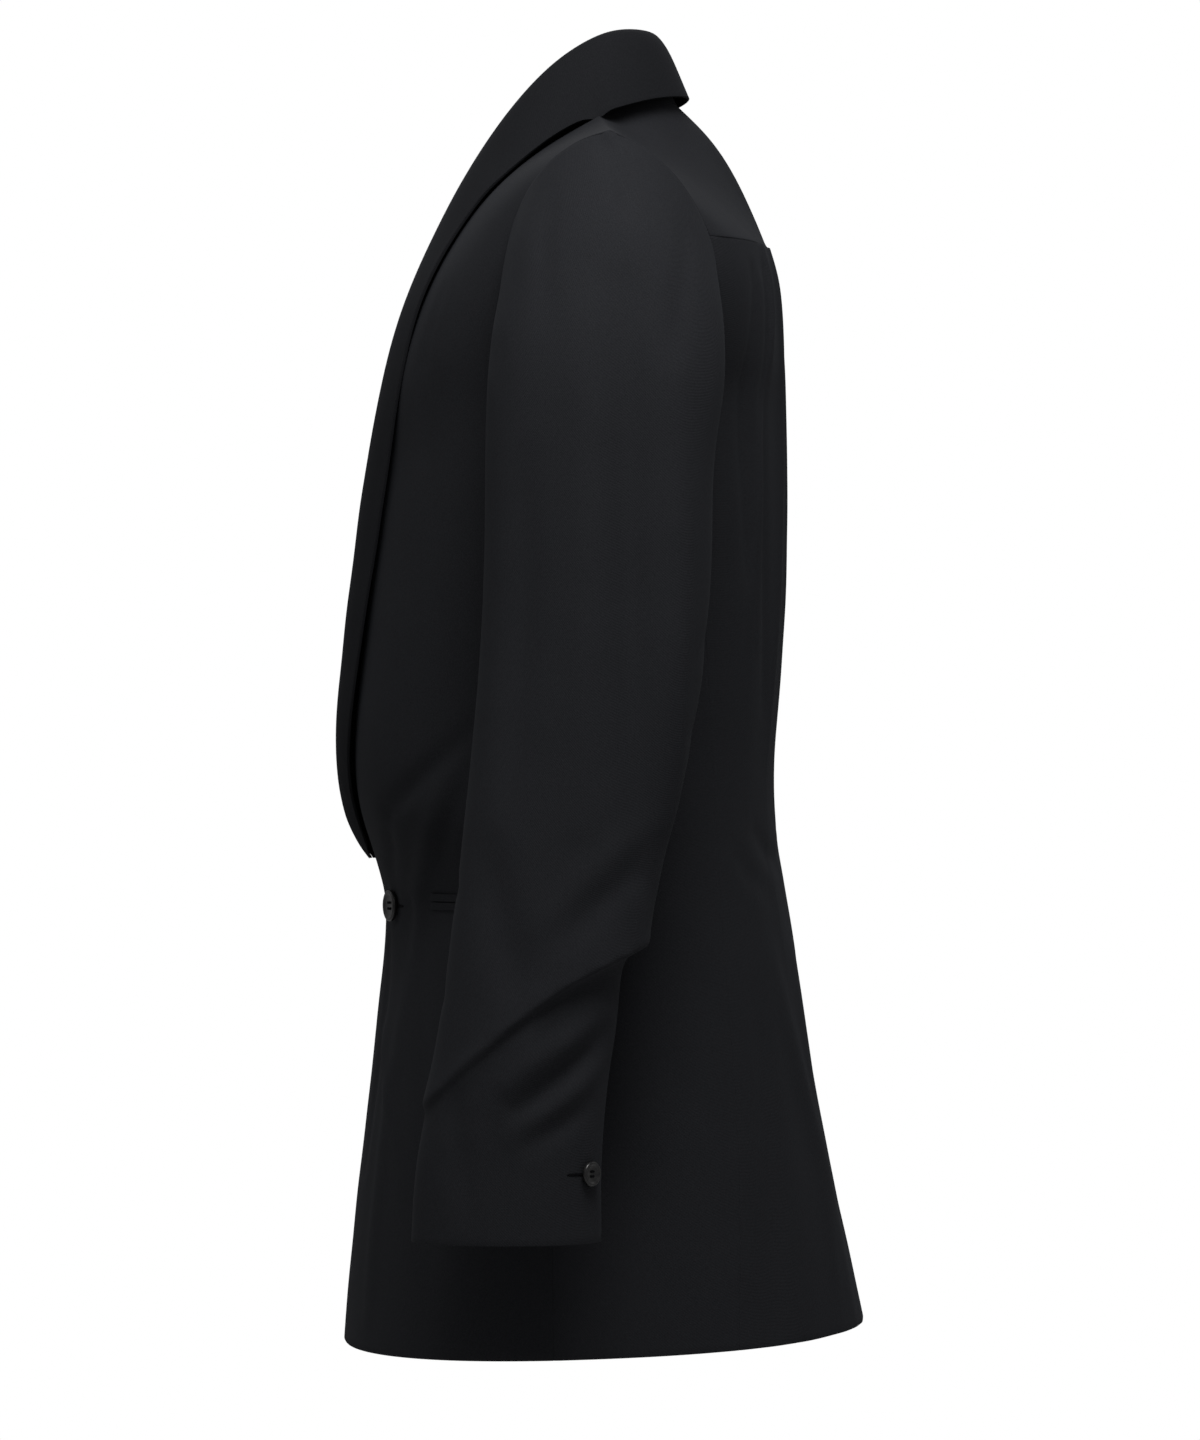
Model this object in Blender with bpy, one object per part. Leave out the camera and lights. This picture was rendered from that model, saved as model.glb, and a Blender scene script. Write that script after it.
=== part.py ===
"""Shawl collar jacket in the form it has when worn.

Metres, +Z up. The front faces -Y and the wearer's left is +X. The origin is the middle of the
neck opening, level with the shoulders. Every piece is a wall of cloth made from a grid of points
on its visible face, and neighbours stay a seam gap apart.
"""

import math

import bmesh
import bpy
import numpy as np
from mathutils import Vector
from mathutils.bvhtree import BVHTree

# Cloth
CLOTH = 0.0020
JET_CLOTH = 0.0012
SEAM_GAP = 0.0003
LIE_GAP = 0.0005

# Body
FRONT_OVERLAP = 0.020
OVERLAP_DEPTH = 0.0042
OVERLAP_REACH = 0.070
CLOSED_FROM = -0.412
CLOSED_FADE = 0.030
HEM_LEVEL = -0.777
HEM_SLOPE = 0.042
HEM_SLOPE_FROM = -0.600
NECK_SIDE = (0.075, -0.002, -0.010)
NECK_BACK_Y = 0.048
NECK_BACK_Z = 0.004
UNDERARM_FRONT = 305.0
UNDERARM_BACK = 238.0
SHOULDER_TURN = 90.0
YOKE_TURN = 158.0
YOKE_CENTRE_LEVEL = -0.092
YOKE_EASINGS = 12

# Outline of the body at each level: the centre front, the centre back, the half width, how far
# back the widest point lies, and how square the front half is (2 is an ellipse).
BODY_COLUMNS = ("level", "front", "back", "half_width", "side_y", "square")
BODY_ROWS = (
    (-0.784, -0.1640, 0.1700, 0.2200, 0.008, 2.3),
    (-0.723, -0.1590, 0.1580, 0.2160, 0.008, 2.3),
    (-0.646, -0.1500, 0.1410, 0.2090, 0.008, 2.3),
    (-0.570, -0.1420, 0.1300, 0.1990, 0.008, 2.05),
    (-0.507, -0.1370, 0.1200, 0.1880, 0.008, 1.85),
    (-0.470, -0.1460, 0.1140, 0.1830, 0.008, 2.2),
    (-0.450, -0.1530, 0.1120, 0.1815, 0.008, 2.6),
    (-0.426, -0.1570, 0.1110, 0.1800, 0.008, 2.7),
    (-0.378, -0.1550, 0.1150, 0.1800, 0.008, 2.8),
    (-0.320, -0.1490, 0.1180, 0.1830, 0.009, 2.8),
    (-0.265, -0.1420, 0.1185, 0.1865, 0.009, 2.8),
    (-0.205, -0.1340, 0.1175, 0.1885, 0.010, 2.7),
    (-0.180, -0.1290, 0.1165, 0.1890, 0.010, 2.6),
)
BACK_SQUARE = 2.3
FRONT_SWEEP = 0.88
BACK_SWEEP = 0.80
FRONT_COLUMNS = 12
SIDE_COLUMNS = 6
BACK_PLAIN_COLUMNS = 4
YOKE_ROWS = 6
YOKE_COLUMNS = 13
BODY_LEVELS = (HEM_LEVEL, -0.735, -0.690, -0.640, -0.590, -0.545, -0.510, -0.496, -0.470, -0.453,
               -0.432, -0.405, -0.370, -0.325, -0.270, -0.225)

# Edge of the front above the button: the turn of the lapel, then the neckline.
EDGE_COLUMNS = ("level", "x", "y")
EDGE_ROWS = (
    (-0.490, -0.0200, -0.1400),
    (-0.470, -0.0110, -0.1460),
    (-0.450, -0.0030, -0.1530),
    (-0.426, 0.0050, -0.1570),
    (-0.390, 0.0130, -0.1550),
    (-0.339, 0.0240, -0.1510),
    (-0.270, 0.0350, -0.1425),
    (-0.205, 0.0440, -0.1330),
    (-0.147, 0.0510, -0.1200),
    (-0.105, 0.0560, -0.1030),
    (-0.065, 0.0630, -0.0770),
    (-0.035, 0.0700, -0.0440),
    NECK_SIDE[::-1][:1] + NECK_SIDE[:2],
)

# Side seams, by how far forward or back they lie.
SEAM_COLUMNS = ("level", "front_seam", "back_seam")
SEAM_ROWS = (
    (-0.784, -0.028, 0.085),
    (-0.650, -0.030, 0.085),
    (-0.535, -0.033, 0.076),
    (-0.430, -0.035, 0.070),
    (-0.265, -0.036, 0.060),
    (-0.190, -0.0345, 0.052),
)

# Armhole: the turn goes from the front notch (0) over the shoulder (90) to the underarm (270).
# Columns: turn, x, y, z.
ARMHOLE_ROWS = (
    (0.0, 0.1970, -0.0600, -0.120),
    (30.0, 0.1995, -0.0520, -0.083),
    (50.0, 0.2070, -0.0380, -0.057),
    (70.0, 0.2175, -0.0170, -0.042),
    (90.0, 0.2250, 0.0060, -0.034),
    (110.0, 0.2220, 0.0280, -0.045),
    (130.0, 0.2140, 0.0480, -0.062),
    (150.0, 0.2060, 0.0630, -0.087),
    (180.0, 0.1990, 0.0720, -0.120),
    (210.0, 0.1900, 0.0680, -0.158),
    (240.0, 0.1815, 0.0500, -0.190),
    (270.0, 0.1890, 0.0100, -0.205),
    (300.0, 0.1878, -0.0290, -0.192),
    (330.0, 0.1910, -0.0530, -0.160),
    (360.0, 0.1970, -0.0600, -0.120),
)

# Rows of a front and of the back above the underarm: where they end on the armhole, the level
# where they start at the front edge or centre back, and how round they are.
# Columns: turn, start level, roundness.
FRONT_SQUARE = 2.0
FRONT_SQUARE_ROUND = 0.7
FRONT_UPPER_ROWS = (
    (305.0, -0.190, 1.00),
    (325.0, -0.165, 0.98),
    (345.0, -0.142, 0.92),
    (365.0, -0.116, 0.80),
    (388.0, -0.088, 0.60),
    (408.0, -0.064, 0.40),
    (424.0, -0.044, 0.24),
    (438.0, -0.027, 0.10),
    (450.0, -0.010, 0.00),
)
BACK_UPPER_ROWS = (
    (238.0, -0.189, 1.00),
    (222.0, -0.171, 1.00),
    (206.0, -0.152, 0.98),
    (190.0, -0.132, 0.95),
    (174.0, -0.112, 0.92),
    (YOKE_TURN, YOKE_CENTRE_LEVEL, 0.90),
)
CENTRE_BACK_COLUMNS = ("level", "y")
CENTRE_BACK_ROWS = (
    (-0.205, 0.1175),
    (-0.150, 0.1145),
    (-0.092, 0.1080),
    (-0.051, 0.0930),
    (-0.014, 0.0700),
    (NECK_BACK_Z, NECK_BACK_Y),
)

# Pleats below the yoke: their place across the half back at the yoke and at their foot, the
# level of the foot, how far the fold stands out and how wide it is across the back.
# Columns: top, foot, foot level, depth, width.
PLEAT_ROWS = (
    (0.15, 0.27, -0.390, 0.0045, 0.085),
    (0.30, 0.50, -0.430, 0.0065, 0.100),
    (0.52, 0.74, -0.330, 0.0060, 0.110),
)
# A pleat drops over this share of the half back, its near side starts this share of its width
# before the crest, at this share of its height, and it is this high where it leaves the yoke.
PLEAT_DROP = 0.016
PLEAT_START = 0.55
PLEAT_SIDE_HEIGHT = 0.25
PLEAT_TOP_HEIGHT = 0.35
PLEAT_RISE = 0.025
PLEAT_FADE = 0.7

# Collar, from the centre back to the button. The stand starts at the neckline, the roll is its
# top or front line and the edge is the free edge of the fall or lapel. The swell is how far the
# middle of the fall stands off a straight line from roll to edge.
# Columns: roll x, y and z, edge x, y and z, swell.
COLLAR_BACK_ROWS = (
    (0.0000, 0.0300, 0.0487, 0.0000, 0.0590, 0.0075, 0.0015),
    (0.0245, 0.0272, 0.0485, 0.0390, 0.0530, 0.0055, 0.0015),
    (0.0430, 0.0175, 0.0476, 0.0700, 0.0350, 0.0015, 0.0020),
    (0.0545, 0.0045, 0.0450, 0.0870, 0.0150, -0.0055, 0.0025),
    (0.0600, -0.0105, 0.0370, 0.0965, -0.0060, -0.0130, 0.0030),
    (0.0620, -0.0280, 0.0240, 0.1030, -0.0260, -0.0230, 0.0030),
    (0.0625, -0.0460, 0.0050, 0.1080, -0.0450, -0.0380, 0.0030),
    (0.0610, -0.0650, -0.0200, 0.1120, -0.0640, -0.0570, 0.0030),
)
COLLAR_BACK_SEAMS = (0.0, 0.030, 0.055, 0.070, 0.0750, 0.0735, 0.0705, 0.0655)
# Lapel, by the level where it starts on the front. The rise is how far its roll stands above that
# level, and the stand off how far its edge lies in front of the chest.
# Columns: level, roll y, rise, edge x, stand off, swell.
LAPEL_ROWS = (
    (-0.064, -0.0825, 0.022, 0.1130, 0.0045, 0.0035),
    (-0.088, -0.1010, 0.012, 0.1145, 0.0045, 0.0035),
    (-0.116, -0.1170, 0.005, 0.1145, 0.0045, 0.0035),
    (-0.147, -0.1300, 0.000, 0.1120, 0.0045, 0.0040),
    (-0.205, -0.1440, 0.000, 0.1060, 0.0045, 0.0045),
    (-0.270, -0.1535, 0.000, 0.0950, 0.0050, 0.0055),
    (-0.325, -0.1595, 0.000, 0.0850, 0.0060, 0.0060),
    (-0.370, -0.1645, 0.000, 0.0740, 0.0065, 0.0060),
    (-0.405, -0.1675, 0.000, 0.0610, 0.0060, 0.0055),
    (-0.432, -0.1675, 0.000, 0.0460, 0.0050, 0.0045),
    (-0.453, -0.1640, 0.000, 0.0290, 0.0040, 0.0030),
    (-0.470, -0.1555, 0.000, 0.0110, 0.0035, 0.0015),
    (-0.479, -0.1480, 0.000, -0.0020, 0.0035, 0.0008),
)
# The right lapel ends where the left one covers it: rows it is shorter by, and how much of the
# fall its last rows keep.
RIGHT_LAPEL_SHORTER = 4
RIGHT_LAPEL_WIDTHS = (0.93, 0.72, 0.36)
STAND_SHARES = (0.0, 0.45, 0.80, 1.0)
FALL_SHARES = (0.07, 0.16, 0.38, 0.68, 1.0)
LAPEL_CLEAR = 0.0031
BACK_CLEAR = 0.0045
ROLL_WIDTH = 0.0080
ROLL_FALL = 0.0012
ROLL_CROWN = 0.0040
LAY_SEARCH = 0.030
LAY_FAR = 0.500
ROLL_TURN_IN = 0.0050
COLLAR_SEAT = 0.0006

# Sleeve: its front and back outline from the side, the middle and half width from the front.
SLEEVE_COLUMNS = ("level", "front", "back", "middle_x", "half_x")
SLEEVE_ROWS = (
    (-0.705, -0.1130, 0.0015, 0.2800, 0.0400),
    (-0.663, -0.1110, 0.0015, 0.2780, 0.0410),
    (-0.616, -0.1040, 0.0030, 0.2750, 0.0425),
    (-0.578, -0.0960, 0.0110, 0.2720, 0.0435),
    (-0.554, -0.0930, 0.0120, 0.2700, 0.0440),
    (-0.525, -0.0900, 0.0190, 0.2680, 0.0445),
    (-0.497, -0.0870, 0.0290, 0.2650, 0.0450),
    (-0.463, -0.0830, 0.0400, 0.2620, 0.0455),
    (-0.429, -0.0790, 0.0500, 0.2590, 0.0460),
    (-0.395, -0.0760, 0.0580, 0.2560, 0.0465),
    (-0.330, -0.0710, 0.0660, 0.2510, 0.0475),
    (-0.278, -0.0700, 0.0690, 0.2480, 0.0485),
    (-0.235, -0.0700, 0.0680, 0.2455, 0.0490),
)
CAP_STEPS = (0.0, 0.10, 0.25, 0.45, 0.70)
CAP_ROUND = 2.6
CAP_BACK_FULLNESS = 0.008
CAP_LEVEL = -0.235

# Rows of a sleeve below the cap: their level at the back, and how far they follow the slant of
# the fold where the upper sleeve sags over the forearm. The drop of that fold goes by how far
# back on the sleeve it is. Columns: level, slant, and back share, drop.
SLEEVE_LEVELS = (
    (CAP_LEVEL, 0.00),
    (-0.280, 0.00),
    (-0.330, 0.05),
    (-0.380, 0.20),
    (-0.430, 0.45),
    (-0.473, 0.75),
    (-0.502, 0.95),
    (-0.519, 1.00),
    (-0.5260, 1.00),
    (-0.5295, 1.00),
    (-0.545, 0.95),
    (-0.572, 0.80),
    (-0.610, 0.52),
    (-0.655, 0.22),
    (-0.700, 0.00),
)
FOLD_LEVEL = -0.5265
FOLD_DROP_ROWS = (
    (0.00, -0.095),
    (0.33, -0.055),
    (0.60, -0.027),
    (1.00, 0.000),
)
FOLD_SAG_BACK = 0.013
FOLD_SAG_FRONT = 0.002
FOLD_FADE_UP = 0.030
FOLD_TUCK = 0.0015
SLEEVE_SEAM_FRONT = -25.0
SLEEVE_SEAM_BACK = 205.0
SLEEVE_GIRTH_RADIUS = 0.040
UNDERARM_EASE = 0.0015
SEAM_STRIP = 5.0
SEAM_LEAN = 0.12

# Pocket
POCKET_LEVEL = -0.5030
POCKET_FRONT_Y = -0.1040
POCKET_LENGTH = 0.150
JET_HEIGHT = 0.0055

# Buttons
FRONT_BUTTON_RADIUS = 0.0100
CUFF_BUTTON_RADIUS = 0.0075
BUTTON_THICKNESS = 0.0034
BUTTON_RIM = 0.0009
BUTTON_SIDES = 20
SEAT_POINTS = 12
SEAT_SEARCH = 0.020
FRONT_BUTTON_X = 0.055
FRONT_BUTTON_LEVEL = -0.5075
CUFF_BUTTON_TURN = 148.0
CUFF_BUTTON_LEVEL = -0.6590

# How finely curves are drawn, and where a quarter of the body starts past the centre line
CURVE_POINTS = 80
QUARTER_POINTS = 240
QUARTER_START = -0.45
QUARTER_CROWDING = 1.25
ARMHOLE_POINTS = 60
NECKLINE_POINTS = 60
STAND_POINTS = 40
FALL_POINTS = 60
EDGE_STEP = 0.001
SHARP_ANGLE = 40.0

# Smaller shapes of the body: the front's edge above this level has its own line, the neckline
# dips towards the nape, and the side's top stops just short of the armhole's ends
OWN_EDGE_ABOVE = -0.200
NECK_DIP = 1.5
UNDERARM_TRIM = 0.3
TUCK_FADE = 0.6

# Smaller shapes of the collar: how it leaves the neckline, and how its stand turns in
COLLAR_BESIDE_NECK = 0.006
COLLAR_LEAD = 0.010
COLLAR_SPREAD = 1.6
COLLAR_BACK_LIMIT = -0.02
COLLAR_OUT_RISE = 0.045
STAND_SHARE = 0.60
STAND_HOLLOW = 0.001
LAPEL_SEAM_PULL = 0.10
LAPEL_SEAM_RISE = 0.08
LAPEL_RISE_REACH = 0.03
LAPEL_TURN_IN_SHARE = 0.7
LAPEL_TURN_IN_DEPTH = 0.0001
LAPEL_TURN_IN_RISE = 0.4
LAPEL_ROLL_SHARE = 0.40

# Smaller shapes of the sleeve: its section is a little squarer than an ellipse, its sag grows
# towards the back, and its top edge is cut towards this point in the armhole
SLEEVE_SQUARE = 0.92
UPPER_SLEEVE_COLUMNS = 15
UNDER_SLEEVE_COLUMNS = 8
SAG_GROWTH = 1.3
ARMHOLE_CENTRE = (0.0, 0.008, -0.120)

# Colours and surface of the materials
WOOL_COLOUR = (0.012, 0.013, 0.016)
WOOL_ROUGHNESS = 0.85
BUTTON_COLOUR = (0.020, 0.020, 0.022)
BUTTON_ROUGHNESS = 0.35

MIRROR = np.array((-1.0, 1.0, 1.0))


def clear_scene():
    for thing in list(bpy.data.objects):
        bpy.data.objects.remove(thing, do_unlink=True)


def finish(name, colour, roughness):
    """A material for one piece."""
    material = bpy.data.materials.new(name)
    material.use_nodes = True
    shader = material.node_tree.nodes["Principled BSDF"]
    shader.inputs["Base Color"].default_value = (*colour, 1.0)
    shader.inputs["Roughness"].default_value = roughness
    shader.inputs["Metallic"].default_value = 0.0
    return material


def smooth_through(knots, values, places):
    """Smooth curve through the values, whose knots rise, with the neighbours' slope at each."""
    knots = np.asarray(knots, dtype=float)
    values = np.asarray(values, dtype=float)
    slopes = np.gradient(values, knots, axis=0)
    places = np.clip(np.asarray(places, dtype=float), knots[0], knots[-1])
    after = np.clip(np.searchsorted(knots, places), 1, len(knots) - 1)
    before = after - 1
    span = knots[after] - knots[before]
    share = (places - knots[before]) / span
    if values.ndim > 1:
        share = share[..., None]
        span = span[..., None]
    rest = 1.0 - share
    ends = values[before] * rest ** 2 * (1 + 2 * share) + values[after] * share ** 2 * (1 + 2 * rest)
    bends = span * share * rest * (slopes[before] * rest - slopes[after] * share)
    return ends + bends


def column(columns, rows, name, places):
    """One named column of a table, read at the places of its first column."""
    ordered = sorted(rows)
    knots = [row[0] for row in ordered]
    values = [row[columns.index(name)] for row in ordered]
    return smooth_through(knots, values, places)


def resample(curve, shares):
    """Points at the given shares of a curve's length."""
    steps = np.linalg.norm(np.diff(curve, axis=0), axis=1)
    length = np.concatenate(([0.0], np.cumsum(steps)))
    places = np.asarray(shares) * length[-1]
    return np.stack([np.interp(places, length, curve[:, axis]) for axis in range(3)], axis=1)


def between(curve, start, stop):
    """The stretch of a curve between two lengths along it."""
    steps = np.linalg.norm(np.diff(curve, axis=0), axis=1)
    length = np.concatenate(([0.0], np.cumsum(steps)))
    places = np.linspace(start, stop, CURVE_POINTS)
    return np.stack([np.interp(places, length, curve[:, axis]) for axis in range(3)], axis=1)


def length_where(curve, axis, value):
    """How far along a curve one of its coordinates reaches a value."""
    steps = np.linalg.norm(np.diff(curve, axis=0), axis=1)
    length = np.concatenate(([0.0], np.cumsum(steps)))
    track = curve[:, axis]
    sign = 1.0 if track[-1] > track[0] else -1.0
    return float(np.interp(sign * value, sign * track, length))


def armhole(turns):
    turns = np.asarray(turns, dtype=float) % 360.0
    knots = [row[0] for row in ARMHOLE_ROWS]
    points = [row[1:] for row in ARMHOLE_ROWS]
    return smooth_through(knots, points, turns)


def hem_tilt(y, level):
    """The hem drops a little towards the front, and the rows near it follow."""
    share = np.clip((HEM_SLOPE_FROM - level) / (HEM_SLOPE_FROM - HEM_LEVEL), 0.0, 1.0)
    return HEM_SLOPE * y * share


def body_quarter(level, half):
    """Outline of the left half at one level, from past the centre line round to the side."""
    end = float(column(BODY_COLUMNS, BODY_ROWS, half, level))
    width = float(column(BODY_COLUMNS, BODY_ROWS, "half_width", level))
    side = float(column(BODY_COLUMNS, BODY_ROWS, "side_y", level))
    square = BACK_SQUARE
    if half == "front":
        square = float(column(BODY_COLUMNS, BODY_ROWS, "square", level))
    steps = np.linspace(QUARTER_START, 1.0, QUARTER_POINTS)
    turn = np.sign(steps) * np.abs(steps) ** QUARTER_CROWDING * math.pi / 2
    sine = np.sin(turn)
    x = width * np.sign(sine) * np.abs(sine) ** (2 / square)
    y = side + (end - side) * np.clip(np.cos(turn), 0.0, 1.0) ** (2 / square)
    return np.stack([x, y, level + hem_tilt(y, level)], axis=1)


def side_outline(level):
    """The whole left outline at one level, from the centre front to the centre back."""
    front = body_quarter(level, "front")
    back = body_quarter(level, "back")
    front = front[front[:, 0] >= 0.0]
    back = back[back[:, 0] >= 0.0]
    return np.concatenate((front, back[::-1][1:]))


def upper_row(start, end, roundness, square, sweep):
    """A row of a panel beside the armhole, round at the chest and straight at the shoulder."""
    share = np.linspace(0.0, 1.0, CURVE_POINTS)
    turn = share * sweep * math.pi / 2
    across = np.sin(turn) ** (2 / square)
    deep = 1 - np.cos(turn) ** (2 / square)
    across = across / across[-1] * roundness + share * (1 - roundness)
    deep = deep / deep[-1] * roundness + share * (1 - roundness)
    weight = np.stack([across, deep, share], axis=1)
    return start + (end - start) * weight


def front_edge_x(level):
    return float(column(EDGE_COLUMNS, EDGE_ROWS, "x", level))


def front_edge_point(level):
    """A point on the front's edge beside the lapel, or on its neckline."""
    x = front_edge_x(level)
    if level > OWN_EDGE_ABOVE:
        return np.array((x, float(column(EDGE_COLUMNS, EDGE_ROWS, "y", level)), level))
    quarter = body_quarter(level, "front")
    place = length_where(quarter, 0, x)
    return between(quarter, place, place + EDGE_STEP)[0]


def front_skin(shares):
    """Grid of the left front: rows from the hem to the shoulder, columns from edge to side."""
    rows = []
    for level in BODY_LEVELS:
        quarter = body_quarter(level, "front")
        inner_x = front_edge_x(level) if level > EDGE_ROWS[0][0] else -FRONT_OVERLAP
        seam_y = float(column(SEAM_COLUMNS, SEAM_ROWS, "front_seam", level))
        start = length_where(quarter, 0, inner_x)
        stop = length_where(quarter, 1, seam_y) - SEAM_GAP / 2
        rows.append(resample(between(quarter, start, stop), shares))
    for turn, level, roundness in FRONT_UPPER_ROWS:
        square = FRONT_SQUARE + FRONT_SQUARE_ROUND * roundness
        row = upper_row(front_edge_point(level), armhole(turn), roundness, square, FRONT_SWEEP)
        rows.append(resample(row, shares))
    return np.array(rows)


def side_skin(shares):
    """Grid of the left side body, from the front seam to the back seam."""
    rows = []
    for level in BODY_LEVELS:
        outline = side_outline(level)
        front_y = float(column(SEAM_COLUMNS, SEAM_ROWS, "front_seam", level))
        back_y = float(column(SEAM_COLUMNS, SEAM_ROWS, "back_seam", level))
        start = length_where(outline, 1, front_y) + SEAM_GAP / 2
        stop = length_where(outline, 1, back_y) - SEAM_GAP / 2
        rows.append(resample(between(outline, start, stop), shares))
    turns = np.linspace(UNDERARM_FRONT - UNDERARM_TRIM, UNDERARM_BACK + UNDERARM_TRIM, ARMHOLE_POINTS)
    return np.array(rows + [resample(armhole(turns), shares)])


def pleat_place(top, foot, foot_level, level):
    """Where a pleat's fold crosses a level, as a share of the half back."""
    fall = (YOKE_CENTRE_LEVEL - level) / (YOKE_CENTRE_LEVEL - foot_level)
    return top + (foot - top) * np.clip(fall, 0.0, 1.0)


def pleat_height(depth, foot_level, level):
    """How far a pleat stands out at a level: little at the yoke, most below it, none at its foot."""
    rise = np.clip((YOKE_CENTRE_LEVEL - level) / PLEAT_RISE, 0.0, 1.0)
    fall = np.clip((level - foot_level) / (YOKE_CENTRE_LEVEL - foot_level), 0.0, 1.0)
    return depth * (PLEAT_TOP_HEIGHT + (1 - PLEAT_TOP_HEIGHT) * rise) * fall ** PLEAT_FADE


def back_shares(level):
    """Columns of the half back: three at each pleat, and even ones beyond the last."""
    shares = [0.0]
    for top, foot, foot_level, _depth, width in PLEAT_ROWS:
        place = pleat_place(top, foot, foot_level, level)
        shares += [place - PLEAT_START * width, place, place + PLEAT_DROP]
    shares += list(np.linspace(shares[-1], 1.0, BACK_PLAIN_COLUMNS + 1)[1:])
    return np.array(shares)


def half_back_skin(pleated):
    """Grid of the left half of the back, from the centre to the seam or armhole."""
    rows = []
    for level in BODY_LEVELS:
        quarter = body_quarter(level, "back")
        seam_y = float(column(SEAM_COLUMNS, SEAM_ROWS, "back_seam", level))
        start = length_where(quarter, 0, 0.0)
        stop = length_where(quarter, 1, seam_y) - SEAM_GAP / 2
        rows.append((level, between(quarter, start, stop)))
    for turn, level, roundness in BACK_UPPER_ROWS:
        y = float(column(CENTRE_BACK_COLUMNS, CENTRE_BACK_ROWS, "y", level))
        start = np.array((0.0, y, level))
        row = upper_row(start, armhole(turn), roundness, BACK_SQUARE, BACK_SWEEP)
        rows.append((level, row))
    skin = np.array([resample(row, back_shares(level)) for level, row in rows])
    if not pleated:
        return skin
    inward = inward_of(skin, 1.0)
    level_edge(inward, -1)
    out = -inward
    for index, (level, _row) in enumerate(rows):
        for number, (top, foot, foot_level, depth, _width) in enumerate(PLEAT_ROWS):
            lift = pleat_height(depth, foot_level, level)
            crest = 2 + 3 * number
            skin[index, crest] += out[index, crest] * lift
            skin[index, crest - 1] += out[index, crest - 1] * lift * PLEAT_SIDE_HEIGHT
    skin[-1, :, 2] -= SEAM_GAP
    return skin


def yoke_skin(rows, columns):
    """Grid of the left half of the yoke, a patch between its seam, neckline and shoulder."""
    seam_start = np.array((0.0, CENTRE_BACK_ROWS[2][1], YOKE_CENTRE_LEVEL))
    roundness = BACK_UPPER_ROWS[-1][2]
    seam = upper_row(seam_start, armhole(YOKE_TURN), roundness, BACK_SQUARE, BACK_SWEEP)
    across = np.linspace(0.0, 1.0, columns)
    bottom = resample(seam, across)
    neck_side = np.array(NECK_SIDE) + (0.0, SEAM_GAP, 0.0)
    neck_columns = columns // 2
    turn = np.linspace(0.0, math.pi / 2, neck_columns + 1)
    neck = np.stack([NECK_SIDE[0] * np.sin(turn),
                     neck_side[1] + (NECK_BACK_Y - neck_side[1]) * np.cos(turn),
                     NECK_SIDE[2] + (NECK_BACK_Z - NECK_SIDE[2]) * np.cos(turn) ** NECK_DIP], axis=1)
    tip = armhole(SHOULDER_TURN) + (0.0, SEAM_GAP, 0.0)
    part = np.linspace(0.0, 1.0, columns - neck_columns)[1:, None]
    shoulder = neck_side + (tip - neck_side) * part
    top = np.concatenate((neck, shoulder))
    up = np.linspace(0.0, 1.0, rows)
    levels = YOKE_CENTRE_LEVEL + (NECK_BACK_Z - YOKE_CENTRE_LEVEL) * up
    centre_y = column(CENTRE_BACK_COLUMNS, CENTRE_BACK_ROWS, "y", levels)
    centre = np.stack([np.zeros(rows), centre_y, levels], axis=1)
    side = armhole(YOKE_TURN + (SHOULDER_TURN - YOKE_TURN) * up)
    side = side + np.linspace(0.0, 1.0, rows)[:, None] * (0.0, SEAM_GAP, 0.0)
    skin = patch(bottom, top, centre, side)
    for _step in range(YOKE_EASINGS):
        around = skin[:-2, 1:-1] + skin[2:, 1:-1] + skin[1:-1, :-2] + skin[1:-1, 2:]
        skin[1:-1, 1:-1] = around / 4
    return skin


def patch(bottom, top, left, right):
    """A smooth patch between four edges that meet at its corners."""
    u = np.linspace(0.0, 1.0, len(bottom))[None, :, None]
    v = np.linspace(0.0, 1.0, len(left))[:, None, None]
    along = (1 - v) * bottom[None] + v * top[None]
    across = (1 - u) * left[:, None] + u * right[:, None]
    corners = ((1 - u) * (1 - v) * bottom[0] + u * (1 - v) * bottom[-1]
               + (1 - u) * v * top[0] + u * v * top[-1])
    return along + across - corners


def slope(skin, axis):
    """Direction of a grid's rows or columns, by the length along each of them."""
    lines = skin if axis == 1 else skin.transpose(1, 0, 2)
    slopes = []
    for line in lines:
        steps = np.linalg.norm(np.diff(line, axis=0), axis=1)
        places = np.concatenate(([0.0], np.cumsum(steps)))
        slopes.append(np.gradient(line, places, axis=0, edge_order=2))
    slopes = np.array(slopes)
    return slopes if axis == 1 else slopes.transpose(1, 0, 2)


def inward_of(skin, sign):
    """Unit vectors from a grid's visible face into the cloth."""
    normal = np.cross(slope(skin, 1), slope(skin, 0))
    normal = normal / np.linalg.norm(normal, axis=2, keepdims=True)
    return normal * sign


def level_edge(inward, row):
    """At a level seam both walls end in one level plane."""
    inward[row, :, 2] = 0.0
    inward[row] /= np.linalg.norm(inward[row], axis=1, keepdims=True)


def wall(name, skin, inward, colour=WOOL_COLOUR, roughness=WOOL_ROUGHNESS, thickness=CLOTH):
    """A closed wall of cloth behind a grid of points on its visible face."""
    shape = bmesh.new()
    rings = []
    for outer, into in zip(skin, inward):
        inner = outer + into * thickness
        ring = np.concatenate((outer, inner[::-1]))
        rings.append([shape.verts.new(point) for point in ring])
    count = len(rings[0])
    for lower, upper in zip(rings, rings[1:]):
        for place in range(count):
            following = (place + 1) % count
            shape.faces.new((lower[place], lower[following], upper[following], upper[place]))
    for ring in (rings[0], rings[-1]):
        for place in range(count // 2 - 1):
            shape.faces.new((ring[place], ring[place + 1], ring[-2 - place], ring[-1 - place]))
    return add_piece(name, shape, colour, roughness)


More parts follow.
